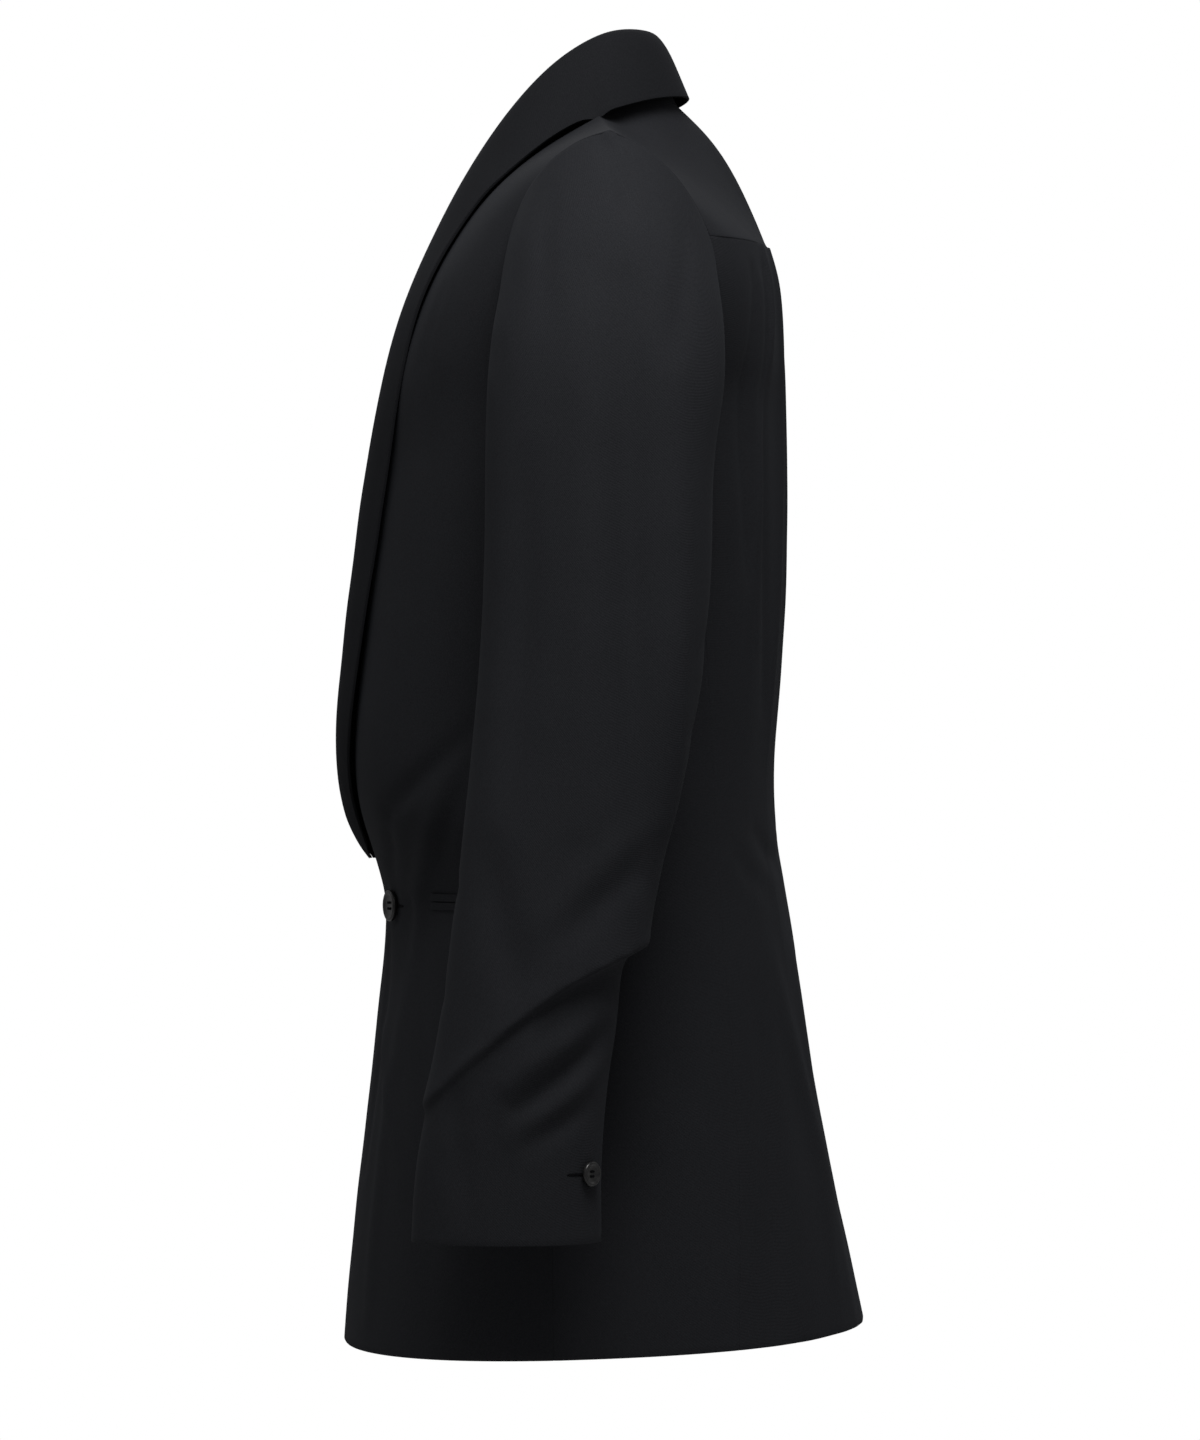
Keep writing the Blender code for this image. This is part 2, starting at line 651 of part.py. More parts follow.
def add_piece(name, shape, colour, roughness):
    bmesh.ops.recalc_face_normals(shape, faces=shape.faces)
    mesh = bpy.data.meshes.new(name)
    shape.to_mesh(mesh)
    shape.free()
    mesh.shade_smooth()
    mesh.set_sharp_from_angle(angle=math.radians(SHARP_ANGLE))
    piece = bpy.data.objects.new(name, mesh)
    piece.data.materials.append(finish(name, colour, roughness))
    bpy.context.scene.collection.objects.link(piece)
    return piece


def tuck_right_front(skin):
    """The right front lies under the left one where they close."""
    x = skin[..., 0]
    closed = np.clip((CLOSED_FROM - skin[..., 2]) / CLOSED_FADE, 0.0, 1.0)
    near = np.clip((OVERLAP_REACH - x) / OVERLAP_REACH, 0.0, 1.0)
    skin = skin.copy()
    skin[..., 1] += OVERLAP_DEPTH * near ** TUCK_FADE * np.where(x < OVERLAP_REACH, 1.0, 0.0) * closed
    return skin


def make_body():
    front = front_skin(np.linspace(0.0, 1.0, FRONT_COLUMNS))
    inward = inward_of(front, -1.0)
    inward[-1] = (0.0, 0.0, -1.0)
    front_seam_inward = inward[:len(BODY_LEVELS) + 1, -1]
    piece = wall("front_left", front, inward)
    right = tuck_right_front(front)
    inward = inward_of(right, -1.0)
    inward[-1] = (0.0, 0.0, -1.0)
    wall("front_right", right * MIRROR, inward * MIRROR)

    plain = half_back_skin(pleated=False)
    pleated = half_back_skin(pleated=True)
    inward = inward_of(plain, 1.0)
    inward[:, 0, 0] = 0.0
    level_edge(inward, -1)
    back_seam_inward = inward[:len(BODY_LEVELS) + 1, -1]
    whole = np.concatenate((pleated[:, ::-1] * MIRROR, pleated[:, 1:]), axis=1)
    whole_inward = np.concatenate((inward[:, ::-1] * MIRROR, inward[:, 1:]), axis=1)
    wall("back", whole, whole_inward)

    side = side_skin(np.linspace(0.0, 1.0, SIDE_COLUMNS))
    inward = inward_of(side, -1.0)
    inward[:, 0] = front_seam_inward
    inward[:, -1] = back_seam_inward
    wall("side_left", side, inward)
    wall("side_right", side * MIRROR, inward * MIRROR)

    yoke = yoke_skin(YOKE_ROWS, YOKE_COLUMNS)
    inward = inward_of(yoke, 1.0)
    inward[-1, YOKE_COLUMNS // 2:] = (0.0, 0.0, -1.0)
    inward[:, 0, 0] = 0.0
    level_edge(inward, 0)
    whole = np.concatenate((yoke[:, ::-1] * MIRROR, yoke[:, 1:]), axis=1)
    whole_inward = np.concatenate((inward[:, ::-1] * MIRROR, inward[:, 1:]), axis=1)
    yoke = wall("yoke", whole, whole_inward)
    return piece, yoke


def chest_y(below, x, level):
    """How far forward the front lies at a place."""
    return below.ray_cast(Vector((x, -LAY_FAR, level)), Vector((0.0, 1.0, 0.0)))[0].y


def neckline_point(index):
    """Where the stand of the collar starts, beside the edge of the yoke or front."""
    x = COLLAR_BACK_SEAMS[index]
    roll_y = COLLAR_BACK_ROWS[index][1]
    if roll_y > NECK_SIDE[1] - COLLAR_BESIDE_NECK:
        turn = math.asin(min(x / NECK_SIDE[0], 1.0))
        y = NECK_SIDE[1] + (NECK_BACK_Y - NECK_SIDE[1]) * math.cos(turn)
        z = NECK_SIDE[2] + (NECK_BACK_Z - NECK_SIDE[2]) * math.cos(turn) ** NECK_DIP
        return np.array((x, y - COLLAR_SEAT, z + COLLAR_SEAT))
    levels = np.linspace(EDGE_ROWS[8][0], NECK_SIDE[2], NECKLINE_POINTS)
    depths = column(EDGE_COLUMNS, EDGE_ROWS, "y", levels)
    level = float(np.interp(roll_y + COLLAR_LEAD, depths, levels))
    edge = front_edge_point(level)
    return edge + (-2 * COLLAR_SEAT, 0.0, 2 * COLLAR_SEAT)


def collar_section(seam, turn_in, roll, crown, middle, edge):
    """Smooth section of the collar from its seam, over the roll, to its free edge."""
    marks = np.array((seam, turn_in, roll, crown, middle, edge))
    knots = np.concatenate(([0.0], np.cumsum(np.linalg.norm(np.diff(marks, axis=0), axis=1))))
    stand = smooth_through(knots, marks, np.linspace(0.0, knots[2], STAND_POINTS))
    fall = smooth_through(knots, marks, np.linspace(knots[2], knots[5], FALL_POINTS))
    return np.concatenate((resample(stand, STAND_SHARES), resample(fall, FALL_SHARES)))


def cloth_below(pieces):
    """The surface of some pieces, to lay other cloth on."""
    corners = []
    faces = []
    for piece in pieces:
        first = len(corners)
        corners += [corner.co for corner in piece.data.vertices]
        faces += [[first + corner for corner in face.vertices] for face in piece.data.polygons]
    return BVHTree.FromPolygons(corners, faces)


def laid_on(below, section, out, clear):
    """Move the fall of a collar section out to where it clears the cloth below."""
    section = section.copy()
    out = Vector(out).normalized()
    for place in range(len(STAND_SHARES) + 1, len(section)):
        start = Vector(section[place]) + out * LAY_SEARCH
        hit = below.ray_cast(start, -out)[3]
        if hit is not None and hit < LAY_SEARCH + clear:
            section[place] = start - out * (hit - clear)
    return section


def collar_skin(below):
    """Grid of the left half of the collar, from the centre back to the button."""
    rows = []
    for index, (rx, ry, rz, ex, ey, ez, swell) in enumerate(COLLAR_BACK_ROWS):
        seam = neckline_point(index)
        roll = np.array((rx, ry, rz))
        edge = np.array((ex, ey, ez))
        out = np.array((rx, max(ry, COLLAR_BACK_LIMIT) * COLLAR_SPREAD, COLLAR_OUT_RISE))
        out = out / np.linalg.norm(out)
        level_out = np.array((out[0], out[1], 0.0)) / math.hypot(out[0], out[1])
        turn_in = seam + (roll - seam) * STAND_SHARE - level_out * STAND_HOLLOW
        crown = roll + level_out * ROLL_WIDTH - (0.0, 0.0, ROLL_FALL)
        middle = (crown + edge) / 2 + out * swell
        section = collar_section(seam, turn_in, roll, crown, middle, edge)
        rows.append(laid_on(below, section, out, BACK_CLEAR))
    for level, roll_y, rise, edge_x, stand_off, swell in LAPEL_ROWS:
        base = front_edge_point(level)
        seam = base + (-LIE_GAP - rise * LAPEL_SEAM_PULL, CLOTH * (1 - rise / LAPEL_RISE_REACH),
                       rise * LAPEL_SEAM_RISE)
        turn_in = seam + (-ROLL_TURN_IN * LAPEL_TURN_IN_SHARE, -LAPEL_TURN_IN_DEPTH,
                          rise * LAPEL_TURN_IN_RISE)
        roll_depth = base[1] + (roll_y - base[1]) * LAPEL_ROLL_SHARE
        roll = np.array((base[0] - ROLL_TURN_IN, roll_depth, level + rise))
        crown = np.array((base[0] + ROLL_CROWN, roll_y, level + rise))
        edge = np.array((edge_x, chest_y(below, edge_x, level) - stand_off, level))
        middle = (crown + edge) / 2 + (0.0, -swell, 0.0)
        section = collar_section(seam, turn_in, roll, crown, middle, edge)
        rows.append(laid_on(below, section, (0.0, -1.0, 0.0), LAPEL_CLEAR))
    return np.array(rows)


def narrow_end(skin):
    """The same half of the collar, whose fall grows narrow over its last rows."""
    skin = skin.copy()
    roll = len(STAND_SHARES) - 1
    shares = np.array((0.0,) + FALL_SHARES)
    first = len(skin) - len(RIGHT_LAPEL_WIDTHS)
    for place, width in enumerate(RIGHT_LAPEL_WIDTHS):
        skin[first + place, roll:] = resample(skin[first + place, roll:], shares * width)
    return skin


def make_collar(below):
    half = collar_skin(below)
    inward = inward_of(half, 1.0)
    inward[0, :, 0] = 0.0
    right = narrow_end(half[:-RIGHT_LAPEL_SHORTER])
    right_inward = inward_of(right, 1.0)[::-1] * MIRROR
    right_inward[-1, :, 0] = 0.0
    right = right[::-1] * MIRROR
    whole = np.concatenate((right, half[1:]), axis=0)
    whole_inward = np.concatenate((right_inward, inward[1:]), axis=0)
    wall("shawl_collar", whole, whole_inward)


def sleeve_ring(turn, level):
    """A point on the sleeve's smooth tube at one turn and level."""
    front = column(SLEEVE_COLUMNS, SLEEVE_ROWS, "front", level)
    back = column(SLEEVE_COLUMNS, SLEEVE_ROWS, "back", level)
    middle = column(SLEEVE_COLUMNS, SLEEVE_ROWS, "middle_x", level)
    half = column(SLEEVE_COLUMNS, SLEEVE_ROWS, "half_x", level)
    angle = np.radians(turn)
    cosine = np.sign(np.cos(angle)) * np.abs(np.cos(angle)) ** SLEEVE_SQUARE
    sine = np.sign(np.sin(angle)) * np.abs(np.sin(angle)) ** SLEEVE_SQUARE
    y = (front + back) / 2 - (back - front) / 2 * cosine
    x = middle + half * sine
    return np.stack([x, y, level + 0.0 * y], axis=-1)


def sleeve_skin(turns):
    """Grid of a stretch of the left sleeve, rows from the armhole to the cuff."""
    turns = np.asarray(turns, dtype=float)
    back_share = (1 - np.cos(np.radians(turns))) / 2
    rows = []
    start = armhole(turns)
    start[:, 0] += LIE_GAP + UNDERARM_EASE * np.clip(-np.sin(np.radians(turns)), 0.0, 1.0)
    ring = sleeve_ring(turns, np.full(len(turns), CAP_LEVEL))
    for share in CAP_STEPS:
        out = 1 - (1 - share) ** CAP_ROUND
        point = start + (ring - start) * np.array((out, out, share))
        point[:, 1] += CAP_BACK_FULLNESS * math.sin(math.pi * share) * back_share ** 2
        rows.append(point)
    drop = smooth_through([row[0] for row in FOLD_DROP_ROWS], [row[1] for row in FOLD_DROP_ROWS],
                          back_share)
    sag = FOLD_SAG_FRONT + (FOLD_SAG_BACK - FOLD_SAG_FRONT) * back_share ** SAG_GROWTH
    for level, slant in SLEEVE_LEVELS:
        levels = level + slant * drop
        point = sleeve_ring(turns, levels)
        centre = sleeve_ring(turns + 180.0, levels)
        out = point - (point + centre) / 2
        out = out / np.linalg.norm(out, axis=1, keepdims=True)
        if level > FOLD_LEVEL:
            lift = sag * math.exp((FOLD_LEVEL - level) / FOLD_FADE_UP)
        else:
            lift = -FOLD_TUCK * math.exp((level - FOLD_LEVEL) / FOLD_FADE_UP) * np.ones(len(turns))
        rows.append(point + out * lift[:, None])
    return np.array(rows)


def sleeve_inward(skin, turns):
    inward = inward_of(skin, 1.0)
    for place, into in ((0, 1.0), (-1, -1.0)):
        strip = sleeve_skin(turns[place] + np.array((-SEAM_STRIP, 0.0, SEAM_STRIP)))
        across = slope(strip, 1)[:, 1]
        across /= np.linalg.norm(across, axis=1, keepdims=True)
        inward[:, place] = inward_of(strip, 1.0)[:, 1] + across * into * SEAM_LEAN
    towards = (np.array(ARMHOLE_CENTRE) - skin[0]) * (0.0, 1.0, 1.0)
    inward[0] = towards / np.linalg.norm(towards, axis=1, keepdims=True)
    return inward


def make_sleeves():
    gap = math.degrees(SEAM_GAP / SLEEVE_GIRTH_RADIUS)
    upper = np.linspace(SLEEVE_SEAM_FRONT + gap, SLEEVE_SEAM_BACK - gap, UPPER_SLEEVE_COLUMNS)
    under = np.linspace(SLEEVE_SEAM_BACK, SLEEVE_SEAM_FRONT + 360.0, UNDER_SLEEVE_COLUMNS)
    pieces = []
    for name, turns in (("upper_sleeve", upper), ("under_sleeve", under)):
        skin = sleeve_skin(turns)
        inward = sleeve_inward(skin, turns)
        pieces.append(wall(name + "_left", skin, inward))
        wall(name + "_right", skin * MIRROR, inward * MIRROR)
    return pieces[0]


def make_pockets():
    """Two narrow folded strips that lie along the slit of each pocket."""
    for name, centre in (("upper", 0.5), ("lower", -0.5)):
        rows = []
        for share in (-0.5, 0.0, 0.5):
            level = POCKET_LEVEL + (centre + share) * JET_HEIGHT - share * SEAM_GAP
            outline = side_outline(level)
            start = length_where(outline, 1, POCKET_FRONT_Y)
            rows.append(resample(between(outline, start, start + POCKET_LENGTH), np.linspace(0, 1, 10)))
        skin = np.array(rows)
        inward = inward_of(skin, -1.0)
        skin = skin - inward * (LIE_GAP + JET_CLOTH)
        wall("pocket_jet_" + name + "_left", skin, inward, thickness=JET_CLOTH)
        wall("pocket_jet_" + name + "_right", skin * MIRROR, inward * MIRROR, thickness=JET_CLOTH)


def make_button(name, centre, facing, radius, colour=BUTTON_COLOUR):
    """A turned button with a raised rim, its back a little off the cloth."""
    profile = (
        (0.0, 0.0),
        (radius * 0.86, 0.0),
        (radius, BUTTON_THICKNESS * 0.35),
        (radius, BUTTON_THICKNESS * 0.75),
        (radius * 0.90, BUTTON_THICKNESS),
        (radius * 0.74, BUTTON_THICKNESS),
        (radius * 0.64, BUTTON_THICKNESS - BUTTON_RIM),
        (0.0, BUTTON_THICKNESS - BUTTON_RIM),
    )
    facing = np.asarray(facing) / np.linalg.norm(facing)
    aside = np.cross(facing, (0.0, 0.0, 1.0))
    aside = aside / np.linalg.norm(aside)
    shape = bmesh.new()
    points = [centre + aside * reach + facing * height for reach, height in profile]
    corners = [shape.verts.new(point) for point in points]
    edges = [shape.edges.new(pair) for pair in zip(corners, corners[1:])]
    bmesh.ops.spin(shape, geom=corners + edges, cent=centre, axis=facing, angle=2 * math.pi,
                   steps=BUTTON_SIDES, use_merge=True)
    bmesh.ops.remove_doubles(shape, verts=shape.verts, dist=0.00002)
    return add_piece(name, shape, colour, BUTTON_ROUGHNESS)


def seated(cloth, centre, facing, radius):
    """Where a flat button comes to rest when it is pushed back against the cloth."""
    tree = cloth_below((cloth,))
    facing = Vector(facing)
    aside = facing.cross(Vector((0.0, 0.0, 1.0))).normalized()
    upward = aside.cross(facing)
    lift = -SEAT_SEARCH
    for step in range(SEAT_POINTS):
        angle = 2 * math.pi * step / SEAT_POINTS
        spoke = aside * math.cos(angle) + upward * math.sin(angle)
        for reach in (0.0, 0.5 * radius, radius):
            start = Vector(centre) + spoke * reach + facing * SEAT_SEARCH
            distance = tree.ray_cast(start, -facing)[3]
            lift = max(lift, SEAT_SEARCH - distance)
    return np.array(Vector(centre) + facing * (lift + SEAM_GAP))


def make_buttons(front, sleeve):
    quarter = body_quarter(FRONT_BUTTON_LEVEL, "front")
    place = length_where(quarter, 0, FRONT_BUTTON_X)
    stretch = between(quarter, place - FRONT_BUTTON_RADIUS, place + FRONT_BUTTON_RADIUS)
    along = stretch[-1] - stretch[0]
    facing = np.array((along[1], -along[0], 0.0)) / math.hypot(along[0], along[1])
    centre = seated(front, stretch.mean(axis=0), facing, FRONT_BUTTON_RADIUS)
    make_button("front_button", centre, facing, FRONT_BUTTON_RADIUS)
    turns = np.array((CUFF_BUTTON_TURN - 4.0, CUFF_BUTTON_TURN, CUFF_BUTTON_TURN + 4.0))
    before, start, after = sleeve_ring(turns, np.full(3, CUFF_BUTTON_LEVEL))
    along = after - before
    facing = np.array((along[1], -along[0], 0.0)) / math.hypot(along[0], along[1])
    centre = seated(sleeve, start, facing, CUFF_BUTTON_RADIUS)
    make_button("cuff_button_left", centre, facing, CUFF_BUTTON_RADIUS)
    make_button("cuff_button_right", centre * MIRROR, facing * MIRROR, CUFF_BUTTON_RADIUS)


def main():
    clear_scene()
    front, yoke = make_body()
    make_collar(cloth_below((front, yoke)))
    sleeve = make_sleeves()
    make_pockets()
    make_buttons(front, sleeve)


main()
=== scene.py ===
# %% [markdown]
# # Dressing a shawl collar jacket
#
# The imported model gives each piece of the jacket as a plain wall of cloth. This lesson turns those
# walls into soft wool with folds, and the plain discs into sewn-on buttons. It starts by loading
# the frame, so that every new piece is made in the place where its solid already is.

import math

import bmesh
import bpy
import numpy as np
from mathutils import Matrix, Vector, noise
from mathutils.bvhtree import BVHTree
from mathutils.kdtree import KDTree


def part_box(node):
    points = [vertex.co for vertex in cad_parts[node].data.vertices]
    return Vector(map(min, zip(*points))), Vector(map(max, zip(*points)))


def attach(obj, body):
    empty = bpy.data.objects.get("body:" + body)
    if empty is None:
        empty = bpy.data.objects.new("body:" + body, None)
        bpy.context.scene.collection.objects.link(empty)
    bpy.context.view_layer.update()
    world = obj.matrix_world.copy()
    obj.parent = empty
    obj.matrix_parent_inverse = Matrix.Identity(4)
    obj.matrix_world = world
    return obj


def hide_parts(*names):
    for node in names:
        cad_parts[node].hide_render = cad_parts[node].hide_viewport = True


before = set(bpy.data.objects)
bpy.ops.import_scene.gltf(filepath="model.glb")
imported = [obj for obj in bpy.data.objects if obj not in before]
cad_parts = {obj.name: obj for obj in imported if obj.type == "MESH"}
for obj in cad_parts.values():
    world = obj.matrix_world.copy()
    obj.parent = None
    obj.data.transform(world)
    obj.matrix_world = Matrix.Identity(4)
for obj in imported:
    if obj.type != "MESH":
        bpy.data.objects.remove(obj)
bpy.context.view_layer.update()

# %% [markdown]
# ## Camera
#
# The photograph looks at the wearer's left side, level with the waist and from far away, so the
# outline hardly narrows with depth. A long lens four metres off gives that. The sensor is 36 mm on
# the long side, and the lens is chosen so that the jacket fills the frame as it does there.

# %% Place the camera
CAMERA_DISTANCE = 4.0
CAMERA_LEVEL = -0.3904
CAMERA_LENS = 156.25

camera_data = bpy.data.cameras.new("camera")
camera_data.lens = CAMERA_LENS
camera = bpy.data.objects.new("camera", camera_data)
camera.location = (CAMERA_DISTANCE, 0.0, CAMERA_LEVEL)
camera.rotation_euler = (math.radians(90), 0.0, math.radians(90))
bpy.context.scene.collection.objects.link(camera)
bpy.context.scene.camera = camera
print("camera", CAMERA_DISTANCE, "m off,", CAMERA_LENS, "mm lens")

# %% [markdown]
# ## Studio
#
# Nearly black cloth shows its form only where the light comes from one side. A pale surround fills
# the shadows evenly, and one large lamp hangs close above the camera's side: it brings out the
# shoulder, and fades down the sleeve as in the photograph. Three weak lamps only keep the sides
# that the camera doesn't see from being flat. The floor lies well below, since nothing stands on
# it.

# %% Light the studio
FLOOR_LEVEL = -1.50
FLOOR_SIZE = 9.0
FLOOR_DARK = (0.78, 0.78, 0.78, 1.0)
FLOOR_LIGHT = (0.84, 0.84, 0.84, 1.0)
FLOOR_ROUGHNESS = 0.9
FLOOR_SPECKLE = 30.0
# How strongly the surround lights the cloth, and how bright the camera sees it.
SURROUND = 0.20
SURROUND_SEEN = 1.0
# Where each lamp hangs, how wide it is and how many watts it has.
LAMPS = {
    "overhead": ((0.9, 0.10, 0.78), 0.7, 15.0),
    "front": ((-0.6, -2.6, 1.2), 1.2, 3.0),
    "behind": ((-1.0, 2.6, 1.2), 1.2, 1.5),
    "far_side": ((-1.8, -0.2, 1.3), 1.2, 9.0),
}
LIT_POINT = Vector((0.1, 0.0, -0.35))


def studio_lamp(name, place, width, watts):
    data = bpy.data.lights.new(name, "AREA")
    data.size = width
    data.energy = watts
    lamp = bpy.data.objects.new(name, data)
    lamp.location = place
    lamp.rotation_euler = (LIT_POINT - Vector(place)).to_track_quat("-Z", "Y").to_euler()
    bpy.context.scene.collection.objects.link(lamp)


def pale_finish():
    material = bpy.data.materials.new("floor")
    material.use_nodes = True
    nodes = material.node_tree.nodes
    shader = nodes["Principled BSDF"]
    shader.inputs["Roughness"].default_value = FLOOR_ROUGHNESS
    speckle = nodes.new("ShaderNodeTexNoise")
    speckle.inputs["Scale"].default_value = FLOOR_SPECKLE
    tone = nodes.new("ShaderNodeValToRGB")
    tone.color_ramp.elements[0].color = FLOOR_DARK
    tone.color_ramp.elements[1].color = FLOOR_LIGHT
    material.node_tree.links.new(speckle.outputs["Fac"], tone.inputs["Fac"])
    material.node_tree.links.new(tone.outputs["Color"], shader.inputs["Base Color"])
    return material


def pale_surround():
    """A white surround, which shines on the cloth with less than it shows."""
    world = bpy.data.worlds.new("studio")
    world.use_nodes = True
    tree = world.node_tree
    background = tree.nodes["Background"]
    background.inputs["Color"].default_value = (1.0, 1.0, 1.0, 1.0)
    strength = tree.nodes.new("ShaderNodeMapRange")
    strength.inputs["To Min"].default_value = SURROUND
    strength.inputs["To Max"].default_value = SURROUND_SEEN
    seen = tree.nodes.new("ShaderNodeLightPath").outputs["Is Camera Ray"]
    tree.links.new(seen, strength.inputs["Value"])
    tree.links.new(strength.outputs["Result"], background.inputs["Strength"])
    return world


bpy.context.scene.world = pale_surround()
bpy.context.scene.view_settings.view_transform = "Standard"
for name, (place, width, watts) in LAMPS.items():
    studio_lamp(name, place, width, watts)

floor_shape = bmesh.new()
bmesh.ops.create_grid(floor_shape, x_segments=1, y_segments=1, size=FLOOR_SIZE / 2,
                      matrix=Matrix.Translation((0.0, 0.0, FLOOR_LEVEL)))
floor_mesh = bpy.data.meshes.new("floor")
floor_shape.to_mesh(floor_mesh)
floor_shape.free()
floor_mesh.materials.append(pale_finish())
floor = bpy.data.objects.new("floor", floor_mesh)
bpy.context.scene.collection.objects.link(floor)
print("lamps", len(LAMPS))

# %% [markdown]
# ## Wool
#
# The cloth is a fine black suiting: matte, a little cool, with a twill so fine that it is felt
# more than seen. One Principled shader does it. Slow noise varies the nap, so that no area is one
# flat tone. Diagonal bands under a millimetre wide and finer noise make the bump of twill and
# fibres. Nearly all the light that wool returns is scattered, so the mirror share is kept very
# low: with a plastic's share the edges of the garment would glow against the white. The collar's
# copy of the wool is painted darker: painted shade, since the collar is lit less than the rest.

# %% Mix the wool
WOOL_DARK = (0.0150, 0.0156, 0.0180, 1.0)
WOOL_LIGHT = (0.0240, 0.0248, 0.0278, 1.0)
WOOL_ROUGHNESS = (0.78, 0.92)
WOOL_SHEEN = 0.015
SHEEN_ROUGHNESS = 0.45
SHEEN_TINT = (0.80, 0.86, 1.0, 1.0)
WOOL_SPECULAR = 0.05
# Painted shade: the collar's wool colour is darkened to this share, since the collar is lit less
# than the rest.
COLLAR_PAINTED_SHADE = 0.62
NAP_SCALE = 26.0
FIBRE_SCALE = 1500.0
# How much the nap and the fibres each add to the tone.
NAP_TONE = 0.16
FIBRE_TONE = 0.85
TWILL_SCALE = 380.0
TWILL_WAVER = 1.2
TWILL_RELIEF = 0.00006
FIBRE_RELIEF = 0.00005
# Between these texture values a colour goes from its dark to its light end.
TINT_LOW = 0.30
TINT_HIGH = 0.70


def new_material(name):
    material = bpy.data.materials.new(name)
    material.use_nodes = True
    return material, material.node_tree, material.node_tree.nodes["Principled BSDF"]


def add_node(tree, kind, **values):
    """A shader node with some of its sockets set by name."""
    made = tree.nodes.new(kind)
    for socket, value in values.items():
        made.inputs[socket.replace("_", " ")].default_value = value
    return made


def spread(tree, source, low, high):
    """Stretch a 0 to 1 texture value over a range, as a linked number."""
    made = add_node(tree, "ShaderNodeMapRange", To_Min=low, To_Max=high)
    tree.links.new(source, made.inputs["Value"])
    return made.outputs["Result"]


def tinted(tree, source, dark, light):
    """Turn a texture value into a colour between two others."""
    ramp = tree.nodes.new("ShaderNodeValToRGB")
    ramp.color_ramp.elements[0].position = TINT_LOW
    ramp.color_ramp.elements[0].color = dark
    ramp.color_ramp.elements[1].position = TINT_HIGH
    ramp.color_ramp.elements[1].color = light
    tree.links.new(source, ramp.inputs["Fac"])
    return ramp.outputs["Color"]


def relief(tree, height, distance, below=None):
    """A bump from a texture value, on top of another bump."""
    made = add_node(tree, "ShaderNodeBump", Distance=distance)
    tree.links.new(height, made.inputs["Height"])
    if below is not None:
        tree.links.new(below, made.inputs["Normal"])
    return made.outputs["Normal"]


def textured(tree, kind, place, scale, **values):
    made = add_node(tree, kind, Scale=scale, **values)
    tree.links.new(place, made.inputs["Vector"])
    return made.outputs["Fac"]


def mix_wool(name, share):
    """Wool with a share of the full colour; a share below one darkens it as painted shade."""
    dark = tuple(value * share for value in WOOL_DARK[:3]) + (1.0,)
    light = tuple(value * share for value in WOOL_LIGHT[:3]) + (1.0,)
    material, tree, shader = new_material(name)
    place = tree.nodes.new("ShaderNodeTexCoord").outputs["Object"]
    nap = textured(tree, "ShaderNodeTexNoise", place, NAP_SCALE, Detail=5.0, Roughness=0.6)
    fibre = textured(tree, "ShaderNodeTexNoise", place, FIBRE_SCALE, Detail=2.0)
    twill = add_node(tree, "ShaderNodeTexWave", Scale=TWILL_SCALE, Distortion=TWILL_WAVER,
                     Detail=1.0)
    twill.bands_direction = "DIAGONAL"
    tree.links.new(place, twill.inputs["Vector"])
    fleck = tree.nodes.new("ShaderNodeMath")
    fleck.operation = "ADD"
    tree.links.new(spread(tree, nap, 0.0, NAP_TONE), fleck.inputs[0])
    tree.links.new(spread(tree, fibre, 0.0, FIBRE_TONE), fleck.inputs[1])
    tree.links.new(tinted(tree, fleck.outputs["Value"], dark, light), shader.inputs["Base Color"])
    tree.links.new(spread(tree, nap, *WOOL_ROUGHNESS), shader.inputs["Roughness"])
    shader.inputs["Sheen Weight"].default_value = WOOL_SHEEN
    shader.inputs["Sheen Roughness"].default_value = SHEEN_ROUGHNESS
    shader.inputs["Sheen Tint"].default_value = SHEEN_TINT
    shader.inputs["Specular IOR Level"].default_value = WOOL_SPECULAR
    ground = relief(tree, twill.outputs["Fac"], TWILL_RELIEF)
    tree.links.new(relief(tree, fibre, FIBRE_RELIEF, ground), shader.inputs["Normal"])
    return material


wool = mix_wool("black fine wool", 1.0)
# The collar's wool, with painted shade darkening its colour.
collar_painted_shade_wool = mix_wool("black fine wool with painted shade", COLLAR_PAINTED_SHADE)
print("wool", len(wool.node_tree.nodes), "nodes")

# %% [markdown]
# ## From wall to visible face
#
# A solid wall has two faces and a rim. Only the visible face is kept, because a fold pressed into
# one sheet stays one sheet, and the thickness is added again at the end. The two faces of a wall
# run side by side, so over a cell of the rim the surface turns right back: the two corners beside
# it add up to half a turn. The triangles are first joined to the four-sided cells that they were,
# which subdivide smoothly.

# %% Take the visible face of a wall
MERGE = 0.00001
RIM_TURN = math.radians(140)
RIM_CORNER = math.radians(35)
RIM_HEIGHT = 0.0024
JOIN_BEND = math.radians(38)
JOIN_SKEW = math.radians(180)


def corner_turn(edge):
    """How far the surface turns away over an edge, below zero where it turns in."""
    return edge.calc_face_angle_signed(0.0) if edge.is_manifold else 0.0


def is_rim(face):
    """Whether a cell is part of the narrow rim between the two faces of a wall."""
    if min(edge.calc_length() for edge in face.edges) > RIM_HEIGHT:
        return False
    for first in face.edges:
        for second in face.edges:
            apart = not set(first.verts) & set(second.verts)
            if apart and corner_turn(first) + corner_turn(second) > RIM_TURN:
                return True
    most = max(corner_turn(edge) for edge in face.edges)
    return len(face.verts) == 3 and most > RIM_CORNER


def connected(start, waiting):
    """The faces that can be reached from one face over shared edges."""
    reached = []
    edge_of_search = [start]
    waiting.discard(start)
    while edge_of_search:
        face = edge_of_search.pop()
        reached.append(face)
        for edge in face.edges:
            for other in edge.link_faces:
                if other in waiting:
                    waiting.discard(other)
                    edge_of_search.append(other)
    return reached


